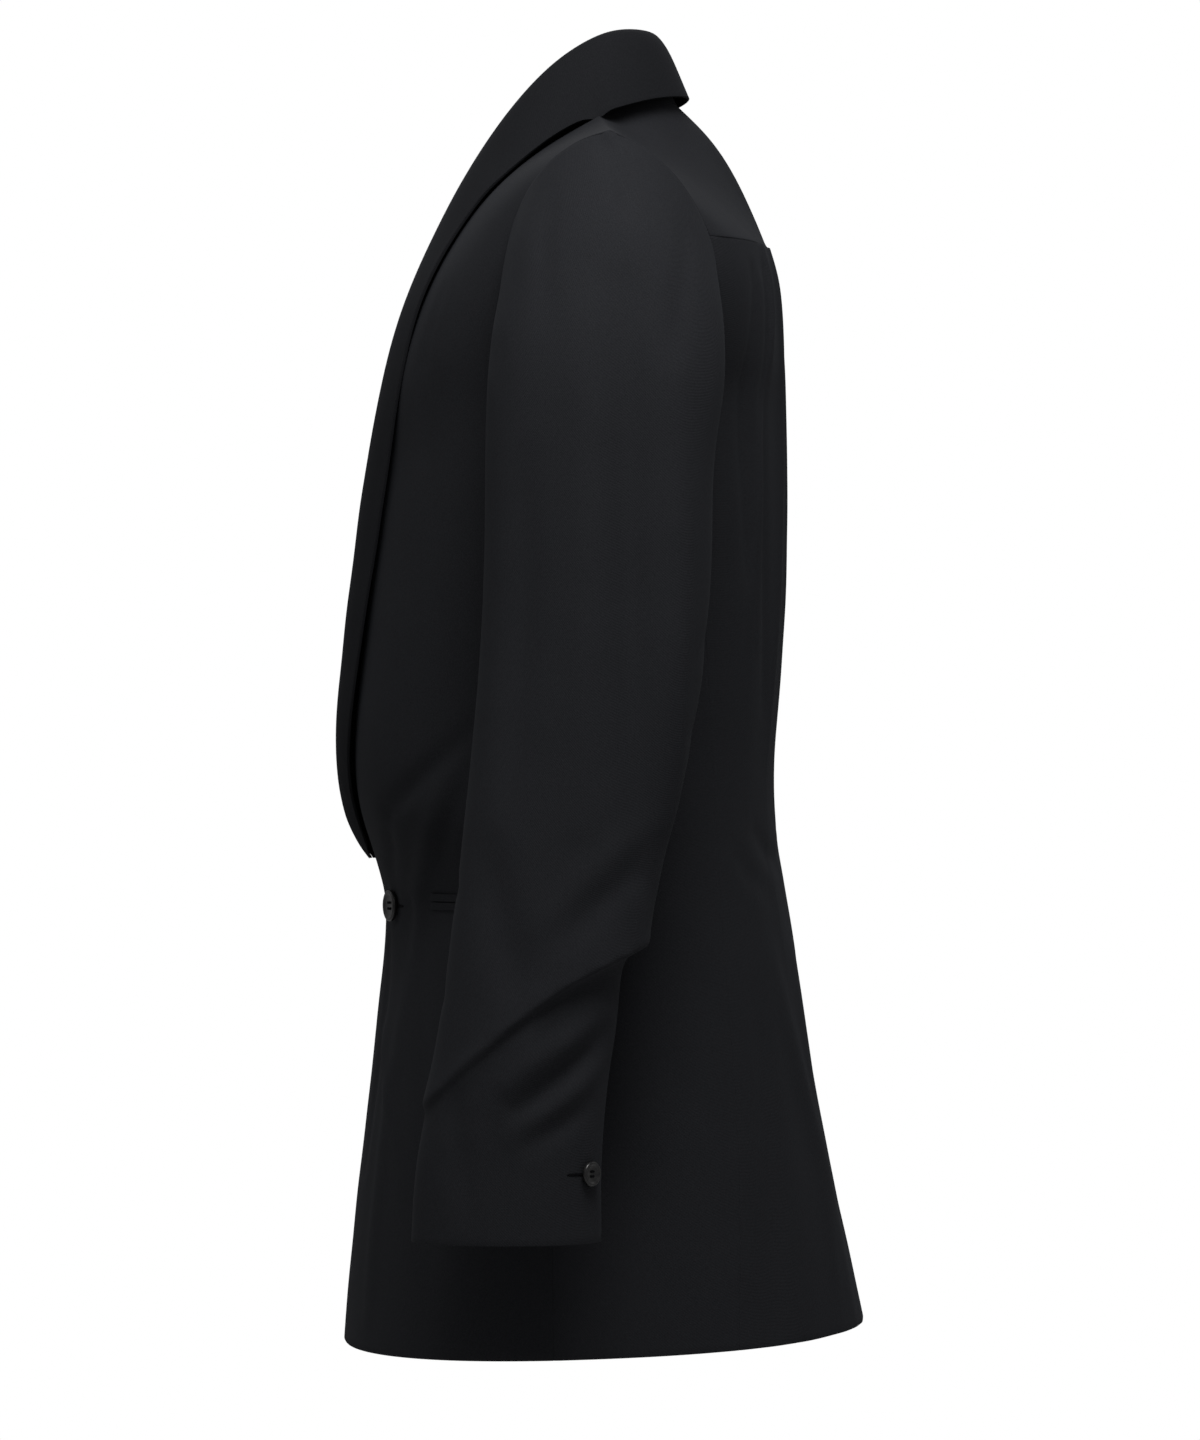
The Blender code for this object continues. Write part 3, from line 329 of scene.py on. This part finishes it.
def visible_face(node):
    """The visible face of a wall of cloth, as a new bmesh."""
    shape = bmesh.new()
    shape.from_mesh(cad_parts[node].data)
    bmesh.ops.remove_doubles(shape, verts=shape.verts, dist=MERGE)
    bmesh.ops.recalc_face_normals(shape, faces=shape.faces)
    bmesh.ops.join_triangles(shape, faces=shape.faces, angle_face_threshold=JOIN_BEND,
                             angle_shape_threshold=JOIN_SKEW)
    rims = [face for face in shape.faces if is_rim(face)]
    bmesh.ops.delete(shape, geom=rims, context="FACES")
    waiting = set(shape.faces)
    parts = []
    for face in list(shape.faces):
        if face in waiting:
            parts.append(connected(face, waiting))
    parts.sort(key=lambda part: sum(face.calc_area() for face in part))
    hidden = [face for part in parts[:-1] for face in part]
    bmesh.ops.delete(shape, geom=hidden, context="FACES")
    return shape


CLOTH_NODES = ("front_left", "front_right", "side_left", "side_right", "back", "yoke",
               "shawl_collar", "upper_sleeve_left", "upper_sleeve_right", "under_sleeve_left",
               "under_sleeve_right")
JET_NODES = ("pocket_jet_upper_left", "pocket_jet_lower_left", "pocket_jet_upper_right",
             "pocket_jet_lower_right")
faces_of = {node: visible_face(node) for node in CLOTH_NODES + JET_NODES}
for node, shape in faces_of.items():
    odd = sum(len(face.verts) != 4 for face in shape.faces)
    area = sum(face.calc_area() for face in shape.faces)
    print(node, "cells", len(shape.faces), "not four-sided", odd, "area", round(area, 4))

# %% [markdown]
# ## Folds
#
# A worn jacket has few folds, and each has its cause: the sleeve sags over the forearm, the front
# is drawn to its one button, the back hangs in pleats from the yoke. Simulation would give folds
# somewhere; here they are wanted where the photograph has them, so each is drawn one by one. A fold
# is a short line of points seen from one side, a depth (below zero for a trough) and a width.

# %% Draw the folds
MM = 0.001
# Each fold: what it lies on, the side it is seen from, depth, width, and its points. Seen from a
# side they are (y, z), from the front or back (x, z), all in millimetres.
FOLDS = (
    ("sleeve", "left", -6.0, 13, ((14, -130), (18, -200), (18, -278), (21, -400), (24, -480))),
    ("sleeve", "left", 3.0, 13, ((-12, -150), (-8, -270), (-10, -350), (-12, -450))),
    ("sleeve", "left", 3.2, 13, ((46, -180), (49, -290), (46, -370), (42, -450))),
    ("sleeve", "left", -3.2, 13, ((-44, -240), (-48, -370), (-54, -440))),
    ("sleeve", "left", -4.0, 14, ((-66, -470), (-58, -520), (-46, -556))),
    ("sleeve", "left", 3.2, 10, ((-36, -556), (-44, -585), (-55, -618))),
    ("sleeve", "left", -4.6, 7, ((4, -577), (-17, -597), (-32, -609), (-50, -621))),
    ("sleeve", "left", 3.2, 8, ((-2, -564), (-20, -581), (-36, -592), (-52, -604))),
    ("sleeve", "left", 2.4, 7, ((0, -594), (-18, -612), (-34, -624), (-52, -636))),
    ("sleeve", "left", -3.4, 7, ((-6, -618), (-25, -631), (-41, -640))),
    ("sleeve", "left", -1.8, 9, ((-90, -600), (-84, -640), (-80, -680))),
    ("sleeve", "left", 2.0, 8, ((-60, -580), (-76, -597), (-90, -610))),
    ("sleeve", "left", 2.0, 9, ((34, -452), (10, -468), (-14, -490), (-34, -512))),
    ("sleeve", "left", -2.4, 9, ((44, -470), (22, -482), (0, -500), (-18, -520))),
    ("sleeve", "left", -2.6, 6, ((3, -42), (9, -52), (14, -66), (17, -86))),
    ("sleeve", "left", -1.6, 9, ((-30, -70), (-34, -105), (-32, -150))),
    ("sleeve", "left", -1.8, 9, ((52, -95), (50, -135), (44, -175))),
    ("sleeve", "front", -1.8, 7, ((232, -470), (250, -486), (272, -494))),
    ("sleeve", "front", -1.4, 6, ((238, -540), (256, -552), (276, -556))),
    ("sleeve", "back", -1.1, 10, ((236, -330), (256, -345), (270, -350))),
    ("sleeve", "back", -1.0, 9, ((238, -385), (258, -398), (270, -401))),
    ("body", "left", -3.4, 8, ((-80, -398), (-100, -416), (-115, -430), (-132, -448))),
    ("body", "left", 3.0, 9, ((-92, -428), (-102, -448), (-108, -474), (-113, -500), (-115, -534))),
    ("body", "left", -2.2, 7, ((-84, -424), (-92, -446), (-98, -476))),
    ("body", "left", 2.4, 8, ((-137, -585), (-133, -615), (-129, -634), (-126, -655))),
    ("body", "left", -1.8, 11, ((-112, -560), (-108, -620), (-106, -690), (-106, -750))),
    ("body", "left", 3.0, 14, ((108, -540), (118, -585), (129, -632), (138, -672), (146, -730))),
    ("body", "left", -2.6, 11, ((96, -560), (102, -620), (106, -690), (108, -760))),
    ("body", "left", -1.6, 9, ((82, -470), (92, -486), (104, -496))),
    ("body", "front", -2.2, 7, ((40, -500), (62, -488), (88, -470), (112, -448))),
    ("body", "front", 1.5, 7, ((42, -512), (70, -504), (100, -492))),
    ("body", "front", -1.7, 8, ((36, -520), (52, -560), (62, -610), (66, -670))),
    ("body", "front", 1.8, 11, ((96, -560), (104, -620), (108, -700), (110, -760))),
    ("body", "front", -2.0, 7, ((-8, -497), (-36, -484), (-66, -468), (-98, -452))),
    ("body", "front", 1.3, 7, ((-10, -510), (-42, -506), (-76, -498))),
    ("body", "front", -1.5, 8, ((-14, -525), (-34, -566), (-46, -630))),
    ("body", "front", 2.0, 12, ((-84, -570), (-92, -640), (-96, -720), (-97, -765))),
    ("body", "front", -1.4, 9, ((150, -130), (142, -175), (138, -225))),
    ("body", "front", -1.2, 9, ((-154, -140), (-148, -190), (-146, -235))),
    ("body", "back", -2.2, 9, ((20, -470), (52, -480), (86, -476), (110, -462))),
    ("body", "back", 1.8, 9, ((-14, -462), (-50, -470), (-92, -466))),
    ("body", "back", -2.0, 9, ((-10, -486), (-46, -492), (-84, -484))),
    ("body", "back", 3.0, 16, ((62, -545), (70, -610), (80, -690), (88, -765))),
    ("body", "back", -2.6, 14, ((24, -560), (26, -640), (28, -740))),
    ("body", "back", 3.0, 17, ((-40, -560), (-48, -640), (-56, -760))),
    ("body", "back", -2.4, 13, ((-96, -560), (-106, -640), (-116, -750))),
    ("body", "back", -3.0, 8, ((150, -116), (147, -180), (139, -240), (131, -300))),
    ("body", "back", -2.2, 9, ((-152, -135), (-150, -200), (-140, -280))),
    ("body", "back", 1.6, 7, ((134, -120), (132, -190), (124, -260), (114, -340))),
    ("body", "back", -2.2, 7, ((120, -112), (118, -190), (109, -280), (96, -380))),
    ("body", "back", -1.8, 8, ((-112, -114), (-112, -200), (-104, -310))),
)
# The wearer's right side hangs like the left one, but not the same: each of its folds is shifted,
# and is deeper or softer, by one of these pairs of millimetres and share.
OTHER_SIDE = ((9, 0.8), (-12, 1.1), (5, 0.7), (-6, 1.2), (14, 0.9), (-9, 1.0), (3, 1.3))
# Where the eye is for each side, one metre from the middle of the garment.
VIEW_FROM = {
    "left": Vector((1.0, 0.0, 0.0)),
    "front": Vector((0.0, -1.0, 0.0)),
    "back": Vector((0.0, 1.0, 0.0)),
}
SLEEVES = tuple(node for node in CLOTH_NODES if "sleeve" in node)
BODY = ("front_left", "front_right", "side_left", "side_right", "back", "yoke")
FOLD_STEP = 0.002


def surface_of(nodes):
    """The faces of several nodes as one tree that rays can be cast at."""
    joined = bmesh.new()
    for node in nodes:
        joined.from_mesh(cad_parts[node].data)
    tree = BVHTree.FromBMesh(joined)
    joined.free()
    return tree


def fold_line(tree, side, points):
    """The points of a fold on the cloth, with even steps between them."""
    eye = VIEW_FROM[side]
    marks = []
    for across, up in points:
        place = Vector((0.0, across, up)) if side == "left" else Vector((across, 0.0, up))
        hit = tree.ray_cast(place * MM + eye, -eye)[0]
        if hit is not None:
            marks.append(hit)
    marks = np.array(marks)
    places = np.concatenate(([0.0], np.cumsum(np.linalg.norm(np.diff(marks, axis=0), axis=1))))
    steps = np.linspace(0.0, places[-1], int(places[-1] / FOLD_STEP) + 2)
    return np.stack([np.interp(steps, places, marks[:, axis]) for axis in range(3)], axis=1)


carriers = {"sleeve": surface_of(SLEEVES), "body": surface_of(BODY)}
fold_lines = []
sleeve_folds = 0
for carrier, side, depth, width, points in FOLDS:
    line = fold_line(carriers[carrier], side, points)
    fold_lines.append((carrier, line, depth * MM, width * MM))
    if carrier == "sleeve":
        pick = sleeve_folds
        sleeve_folds += 1
    elif side == "left":
        pick = len(fold_lines)
    else:
        continue
    shift, share = OTHER_SIDE[pick % len(OTHER_SIDE)]
    other = line * (-1.0, 1.0, 1.0) + (0.0, 0.0, shift * MM)
    fold_lines.append((carrier, other, depth * share * MM, width * MM))
print("folds", len(fold_lines))

# %% [markdown]
# ## Soft cloth
#
# Each face is subdivided, eased so that no facet of the solid shows, and then moved along its
# normals: by the folds, and by a slow noise of a fraction of a millimetre, since no cloth hangs
# perfectly even. A fold is deepest along its line and fades at both ends. The solids leave small
# gaps at the seams, so the edges are let out a little there, and the collar and the sleeves are
# drawn onto the neckline and armholes that they are sewn to. Then Solidify gives the thickness
# back inwards, and a small bevel rounds the edges like pressed cloth.

# %% Press the folds and give the cloth its thickness
CLOTH = 0.0018
JET_CLOTH = 0.0012
EDGE_ROUND = 0.0005
EDGE_ANGLE = math.radians(60)
SMOOTH_LEVELS = 3
EASINGS = 2
YOKE_EASINGS = 6
# What the collar and sleeves are sewn to, how low that goes, the widest gap that is closed, how
# near an edge is near enough, and how far the edge is tucked down into the seam.
SEWN_TO = {
    "collar": (("yoke", "front_left", "front_right"), -0.090, 0.003, 0.0, 0.0015),
    "sleeve": (BODY, -0.260, 0.010, 0.0008, 0.0),
}
NEAR_FADE = 0.0008
SEWN_FADE = 0.006
EDGE_STEPS = 8
UNEVEN = 0.0005
UNEVEN_SCALE = 22.0
# A fold starts and ends with some depth, rises to it this roundly, and is felt this many widths
# away.
FOLD_END = 0.10
FOLD_ROUNDNESS = 0.7
FELT_WIDTHS = 3
# Under a button the cloth is held flat.
BUTTON_NODES = ("front_button", "cuff_button_left", "cuff_button_right")
SEWN_REACH = 0.018
SEWN_SPOTS = [np.array(sum(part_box(node), Vector())) / 2 for node in BUTTON_NODES]
# How far each kind of cloth reaches into its seams: the solids leave a gap there.
# The two jets of a pocket stay apart, so that the slit between them shows.
SEAM_REACH = {"body": 0.00022, "sleeve": 0.00045, "collar": 0.00005, "jet": -0.00030}


def holder_of(shape, name):
    """An object that holds a shape while modifiers work on it."""
    mesh = bpy.data.meshes.new(name)
    shape.to_mesh(mesh)
    shape.free()
    holder = bpy.data.objects.new(name, mesh)
    bpy.context.scene.collection.objects.link(holder)
    return holder


def evaluated_mesh(holder):
    """The mesh that a holder's modifiers make. The holder goes."""
    ready = bpy.context.evaluated_depsgraph_get()
    made = bpy.data.meshes.new_from_object(holder.evaluated_get(ready))
    bpy.data.objects.remove(holder)
    return made


def subdivided(shape, name):
    """The face with its cells divided smoothly, corners kept."""
    holder = holder_of(shape, name)
    smooth = holder.modifiers.new("smooth", "SUBSURF")
    smooth.levels = SMOOTH_LEVELS
    smooth.render_levels = SMOOTH_LEVELS
    smooth.boundary_smooth = "PRESERVE_CORNERS"
    return evaluated_mesh(holder)


def eased(mesh, times):
    """Relax the inside of a face and leave its edges where they are."""
    shape = bmesh.new()
    shape.from_mesh(mesh)
    inside = [corner for corner in shape.verts if not corner.is_boundary]
    for _time in range(times):
        bmesh.ops.smooth_vert(shape, verts=inside, factor=0.5, use_axis_x=True, use_axis_y=True,
                              use_axis_z=True)
    shape.to_mesh(mesh)
    shape.free()


def sewn_edges(mesh, reach):
    """Let a face's edges meet their neighbours', as sewn seams do."""
    shape = bmesh.new()
    shape.from_mesh(mesh)
    moves = {}
    for edge in shape.edges:
        if not edge.is_boundary:
            continue
        along = (edge.verts[1].co - edge.verts[0].co).normalized()
        middle = (edge.verts[0].co + edge.verts[1].co) / 2
        out = middle - edge.link_faces[0].calc_center_median()
        out = (out - along * out.dot(along)).normalized()
        for corner in edge.verts:
            moves[corner] = moves.get(corner, Vector()) + out
    for corner, out in moves.items():
        corner.co += out.normalized() * reach
    shape.to_mesh(mesh)
    shape.free()


def press_folds(mesh, carrier):
    """Move a face along its normals by its folds and a little unevenness."""
    count = len(mesh.vertices)
    places = np.empty(count * 3)
    mesh.vertices.foreach_get("co", places)
    places = places.reshape(-1, 3)
    normals = np.array([corner.vector for corner in mesh.vertex_normals])
    push = np.array([noise.noise(Vector(place) * UNEVEN_SCALE) for place in places]) * UNEVEN
    for kind, line, depth, width in fold_lines:
        felt = FELT_WIDTHS * width
        inside = (places > line.min(axis=0) - felt) & (places < line.max(axis=0) + felt)
        close = np.flatnonzero(inside.all(axis=1))
        if kind != carrier or len(close) == 0:
            continue
        away = np.linalg.norm(places[close, None] - line[None], axis=2)
        share = FOLD_END + (1.0 - 2.0 * FOLD_END) * away.argmin(axis=1) / (len(line) - 1)
        strength = np.sin(math.pi * share) ** FOLD_ROUNDNESS
        push[close] += depth * strength * np.exp(-(away.min(axis=1) / width) ** 2)
    for spot in SEWN_SPOTS:
        away = np.linalg.norm(places - spot, axis=1)
        push *= 1.0 - np.exp(-(away / SEWN_REACH) ** 4)
    places += normals * push[:, None]
    mesh.vertices.foreach_set("co", places.ravel())
    mesh.update()


def edge_places(mesh, steps):
    """Places along the open edges of a face, in so many steps an edge."""
    shape = bmesh.new()
    shape.from_mesh(mesh)
    places = []
    for edge in shape.edges:
        if edge.is_boundary:
            first, second = [corner.co.copy() for corner in edge.verts]
            places += [first.lerp(second, step / steps) for step in range(steps + 1)]
    shape.free()
    return places


def sewn_to(mesh, carrier):
    """Bring the edge of a collar or sleeve onto the edges that it is sewn to."""
    nodes, lowest, widest, near, tuck = SEWN_TO[carrier]
    seams = [place for node in nodes for place in edge_places(pieces[node].data, EDGE_STEPS)]
    tree = KDTree(len(seams))
    for index, place in enumerate(seams):
        tree.insert(place, index)
    tree.balance()
    starts = []
    moves = []
    for place in edge_places(mesh, 1):
        target, _index, distance = tree.find(place)
        if place.z > lowest and distance < widest:
            share = min(1.0, max(0.0, distance - near) / NEAR_FADE)
            starts.append(place)
            moves.append((target - place) * share - Vector((0.0, 0.0, tuck)))
    starts = np.array(starts)
    moves = np.array(moves)
    for corner in mesh.vertices:
        away = np.linalg.norm(starts - np.array(corner.co), axis=1)
        if away.min() < 3 * SEWN_FADE:
            corner.co += Vector(moves[away.argmin()]) * math.exp(-(away.min() / SEWN_FADE) ** 2)
    print(mesh.name, "sewn on, moved up to", np.linalg.norm(moves, axis=1).max().round(4), "m")


def cloth_piece(name, node, carrier, thickness=CLOTH):
    """A finished piece of cloth that stands for one node."""
    mesh = subdivided(faces_of[node], name)
    eased(mesh, YOKE_EASINGS if node == "yoke" else EASINGS)
    sewn_edges(mesh, SEAM_REACH[carrier])
    if carrier in SEWN_TO:
        sewn_to(mesh, carrier)
    if carrier != "jet":
        press_folds(mesh, carrier)
    mesh.shade_smooth()
    mesh.materials.clear()
    # The collar gets the wool with painted shade in its colour.
    mesh.materials.append(collar_painted_shade_wool if carrier == "collar" else wool)
    piece = bpy.data.objects.new(name, mesh)
    bpy.context.scene.collection.objects.link(piece)
    body = piece.modifiers.new("thickness", "SOLIDIFY")
    body.thickness = thickness
    body.offset = -1.0
    body.thickness_clamp = 1.0
    rounding = piece.modifiers.new("rounding", "BEVEL")
    rounding.width = EDGE_ROUND
    rounding.segments = 2
    rounding.limit_method = "ANGLE"
    rounding.angle_limit = EDGE_ANGLE
    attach(piece, "root")
    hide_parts(node)
    return piece


CARRIER_OF = {node: "sleeve" if node in SLEEVES else "body" for node in CLOTH_NODES}
CARRIER_OF["shawl_collar"] = "collar"
pieces = {}
for node in CLOTH_NODES:
    pieces[node] = cloth_piece(node + "_cloth", node, CARRIER_OF[node])
for node in JET_NODES:
    pieces[node] = cloth_piece(node + "_cloth", node, "jet", JET_CLOTH)
for node, piece in pieces.items():
    area = sum(face.area for face in piece.data.polygons)
    print(node, "faces", len(piece.data.polygons), "area", round(area, 4))

# %% [markdown]
# The width and length are the longest cuts that a plane makes across and along the solid's
# wall, rounded up, and those of the curved collar are estimates.

# %% [markdown]
# ## Buttons
#
# The buttons are polished dark horn with a rounded rim, a dished face and four holes. A lathe
# profile, spun once round, gives the body; four drilled holes are cut with a Boolean, and two
# arches of thread join them. The lathe is made at the centre and then turned to the place and
# facing of the plain disc in the frame. Beside each button runs its worked buttonhole: a narrow
# grid, whose corners are dropped on the finished cloth so that it follows the curve.

# %% Turn and sew the buttons
BUTTON_DARK = (0.006, 0.006, 0.007, 1.0)
BUTTON_LIGHT = (0.022, 0.021, 0.021, 1.0)
THREAD_DARK = (0.002, 0.002, 0.003, 1.0)
THREAD_LIGHT = (0.007, 0.007, 0.008, 1.0)
HORN_CLOUD = 210.0
HORN_ROUGHNESS = (0.22, 0.38)
HORN_GRAIN = 2500.0
HORN_RELIEF = 0.00001
THREAD_TWIST = 900.0
THREAD_ROUGHNESS = 0.8
THREAD_RELIEF = 0.00008
BUTTON_HEIGHT = 0.0034
BUTTON_SHARP = math.radians(45)
SPIN_STEPS = 64
# The thread holes: how wide and how far out they are, as shares of the button's radius.
HOLE_SHARE = 0.105
HOLE_OUT = 0.264
HOLE_SIDES = 20
THREAD_RADIUS = 0.00035
THREAD_SIDES = 8
ARCH_STEPS = 12
ARCH_RISE = 0.55
# The dished face lies at this share of the height.
DISH_LEVEL = 0.66
# The wound stem: its foot and top as shares of the radius, its height, and where its middle is.
STEM_FOOT = 0.22
STEM_TOP = 0.18
STEM_HEIGHT = 0.0018
STEM_LEVEL = -0.0006
STEM_SIDES = 12
# How far out and forward the middle of a sleeve is at its button.
SLEEVE_MIDDLE = (0.275, -0.055)
# A button leans on its stem of thread: how far each is turned to the wearer's left.
LEAN = {"front_button": math.radians(7), "cuff_button_left": 0.0, "cuff_button_right": 0.0}
# For each button: the cloth that its buttonhole is worked in, the hole's length, and its way.
HOLES = {
    "front_button": ("front_left", 0.021, (1.0, 0.3, 0.0)),
    "cuff_button_left": ("upper_sleeve_left", 0.016, (0.2, -1.0, 0.0)),
    "cuff_button_right": ("upper_sleeve_right", 0.016, (-0.2, -1.0, 0.0)),
}
HOLE_WIDTH = 0.0018
HOLE_LIFT = 0.0003
HOLE_THREAD = 0.0006
HOLE_SEARCH = 0.012
HOLE_CELLS = (24, 3)
HOLE_BLUNTNESS = 6
# Lathe profile as shares of the radius and of the height.
BUTTON_PROFILE = ((0.0, 0.0), (0.80, 0.0), (0.94, 0.14), (1.0, 0.42), (1.0, 0.66),
                  (0.965, 0.88), (0.90, 0.985), (0.83, 1.0), (0.76, 0.96), (0.68, 0.80),
                  (0.58, 0.70), (0.0, DISH_LEVEL))


def mix_horn():
    material, tree, shader = new_material("polished dark horn")
    place = tree.nodes.new("ShaderNodeTexCoord").outputs["Object"]
    cloud = textured(tree, "ShaderNodeTexNoise", place, HORN_CLOUD, Detail=4.0, Distortion=1.5)
    tree.links.new(tinted(tree, cloud, BUTTON_DARK, BUTTON_LIGHT), shader.inputs["Base Color"])
    tree.links.new(spread(tree, cloud, *HORN_ROUGHNESS), shader.inputs["Roughness"])
    fine = textured(tree, "ShaderNodeTexNoise", place, HORN_GRAIN)
    tree.links.new(relief(tree, fine, HORN_RELIEF), shader.inputs["Normal"])
    return material


def mix_thread():
    material, tree, shader = new_material("black sewing thread")
    place = tree.nodes.new("ShaderNodeTexCoord").outputs["Object"]
    twist = add_node(tree, "ShaderNodeTexWave", Scale=THREAD_TWIST, Distortion=0.5)
    twist.bands_direction = "DIAGONAL"
    tree.links.new(place, twist.inputs["Vector"])
    tree.links.new(tinted(tree, twist.outputs["Fac"], THREAD_DARK, THREAD_LIGHT),
                   shader.inputs["Base Color"])
    shader.inputs["Roughness"].default_value = THREAD_ROUGHNESS
    shader.inputs["Specular IOR Level"].default_value = WOOL_SPECULAR
    tree.links.new(relief(tree, twist.outputs["Fac"], THREAD_RELIEF), shader.inputs["Normal"])
    return material


def disc_place(node):
    """Centre, facing and radius of a plain disc of the frame."""
    points = np.array([corner.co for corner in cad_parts[node].data.vertices])
    centre = (points.min(axis=0) + points.max(axis=0)) / 2
    facing = np.linalg.svd(points - points.mean(axis=0))[2][-1]
    middle = (0.0, 0.0)
    if node != "front_button":
        middle = (math.copysign(SLEEVE_MIDDLE[0], centre[0]), SLEEVE_MIDDLE[1])
    if facing @ (centre - np.array((*middle, centre[2]))) < 0:
        facing = -facing
    radius = float((points[:, 2].max() - points[:, 2].min()) / 2)
    return Vector(centre), Vector(facing), radius


def button_body(radius):
    """The turned and drilled button, face up."""
    shape = bmesh.new()
    corners = []
    for out, up in BUTTON_PROFILE:
        corners.append(shape.verts.new((out * radius, 0.0, up * BUTTON_HEIGHT)))
    edges = [shape.edges.new(pair) for pair in zip(corners, corners[1:])]
    bmesh.ops.spin(shape, geom=corners + edges, cent=(0, 0, 0), axis=(0, 0, 1), angle=2 * math.pi,
                   steps=SPIN_STEPS, use_merge=True)
    bmesh.ops.remove_doubles(shape, verts=shape.verts, dist=MERGE)
    bmesh.ops.recalc_face_normals(shape, faces=shape.faces)
    holder = holder_of(shape, "button body")
    drill = bmesh.new()
    out = HOLE_OUT * radius
    for quarter in range(4):
        angle = math.pi / 4 + quarter * math.pi / 2
        place = (math.cos(angle) * out, math.sin(angle) * out, BUTTON_HEIGHT / 2)
        bmesh.ops.create_cone(drill, cap_ends=True, segments=HOLE_SIDES,
                              radius1=HOLE_SHARE * radius, radius2=HOLE_SHARE * radius,
                              depth=BUTTON_HEIGHT * 2, matrix=Matrix.Translation(place))
    cutter = holder_of(drill, "drill")
    cut = holder.modifiers.new("holes", "BOOLEAN")
    cut.operation = "DIFFERENCE"
    cut.solver = "EXACT"
    cut.object = cutter
    made = evaluated_mesh(holder)
    bpy.data.objects.remove(cutter)
    return made


def thread_arches(radius):
    """Two arches of thread from hole to hole, and the wound stem below them."""
    shape = bmesh.new()
    reach = HOLE_OUT * radius * math.sqrt(0.5)
    start = Matrix.Translation((reach, 0.0, 0.0))
    for side in (-1.0, 1.0):
        for strand in (-1.0, 1.0):
            ring = bmesh.ops.create_circle(shape, segments=THREAD_SIDES, radius=THREAD_RADIUS,
                                           matrix=start)["verts"]
            edges = list({edge for corner in ring for edge in corner.link_edges})
            bmesh.ops.spin(shape, geom=ring + edges, cent=(0, 0, 0), axis=(0, -1, 0),
                           angle=math.pi, steps=ARCH_STEPS)
            fresh = [corner for corner in shape.verts if not corner.tag]
            for corner in fresh:
                corner.co.y += side * reach + strand * THREAD_RADIUS
                corner.co.z = corner.co.z * ARCH_RISE + BUTTON_HEIGHT * DISH_LEVEL
                corner.tag = True
    bmesh.ops.create_cone(shape, cap_ends=True, segments=STEM_SIDES,
                          radius1=radius * STEM_FOOT, radius2=radius * STEM_TOP,
                          depth=STEM_HEIGHT, matrix=Matrix.Translation((0, 0, STEM_LEVEL)))
    bmesh.ops.recalc_face_normals(shape, faces=shape.faces)
    mesh = bpy.data.meshes.new("thread")
    shape.to_mesh(mesh)
    shape.free()
    return mesh


def placed(mesh, name, turn, material):
    """An object at the origin, whose mesh was moved to its place."""
    mesh.transform(turn)
    mesh.shade_smooth()
    mesh.materials.clear()
    mesh.materials.append(material)
    piece = bpy.data.objects.new(name, mesh)
    bpy.context.scene.collection.objects.link(piece)
    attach(piece, "root")
    return piece


def buttonhole(node, centre, facing):
    """A narrow worked edge, laid on the cloth from under the button outwards."""
    cloth, length, way = HOLES[node]
    tree = BVHTree.FromObject(pieces[cloth], bpy.context.evaluated_depsgraph_get())
    along = (Vector(way) - facing * facing.dot(Vector(way))).normalized()
    aside = facing.cross(along)
    shape = bmesh.new()
    bmesh.ops.create_grid(shape, x_segments=HOLE_CELLS[0], y_segments=HOLE_CELLS[1], size=0.5)
    for corner in shape.verts:
        width = HOLE_WIDTH * (1.0 - abs(2.0 * corner.co.x) ** HOLE_BLUNTNESS)
        spot = centre + along * (corner.co.x + 0.5) * length + aside * corner.co.y * width
        hit = tree.ray_cast(spot + facing * HOLE_SEARCH, -facing)[0]
        corner.co = (spot if hit is None else hit) + facing * HOLE_LIFT
    bmesh.ops.remove_doubles(shape, verts=shape.verts, dist=MERGE)
    bmesh.ops.recalc_face_normals(shape, faces=shape.faces)
    bmesh.ops.solidify(shape, geom=shape.faces, thickness=HOLE_THREAD)
    mesh = bpy.data.meshes.new("buttonhole")
    shape.to_mesh(mesh)
    shape.free()
    return mesh


horn = mix_horn()
thread = mix_thread()
for node in BUTTON_NODES:
    centre, facing, radius = disc_place(node)
    facing = Matrix.Rotation(LEAN[node], 3, "Z") @ facing
    turn = Matrix.Translation(centre) @ facing.to_track_quat("Z", "Y").to_matrix().to_4x4()
    turn = turn @ Matrix.Translation((0.0, 0.0, -BUTTON_HEIGHT / 2))
    body = button_body(radius)
    body.set_sharp_from_angle(angle=BUTTON_SHARP)
    button = placed(body, node + "_turned", turn, horn)
    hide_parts(node)
    placed(thread_arches(radius), node + "_thread", turn, thread)
    placed(buttonhole(node, centre, facing), node + "_hole", Matrix.Identity(4), thread)
    print(node, "radius", round(radius, 4), "facing", np.round(facing, 2).tolist())
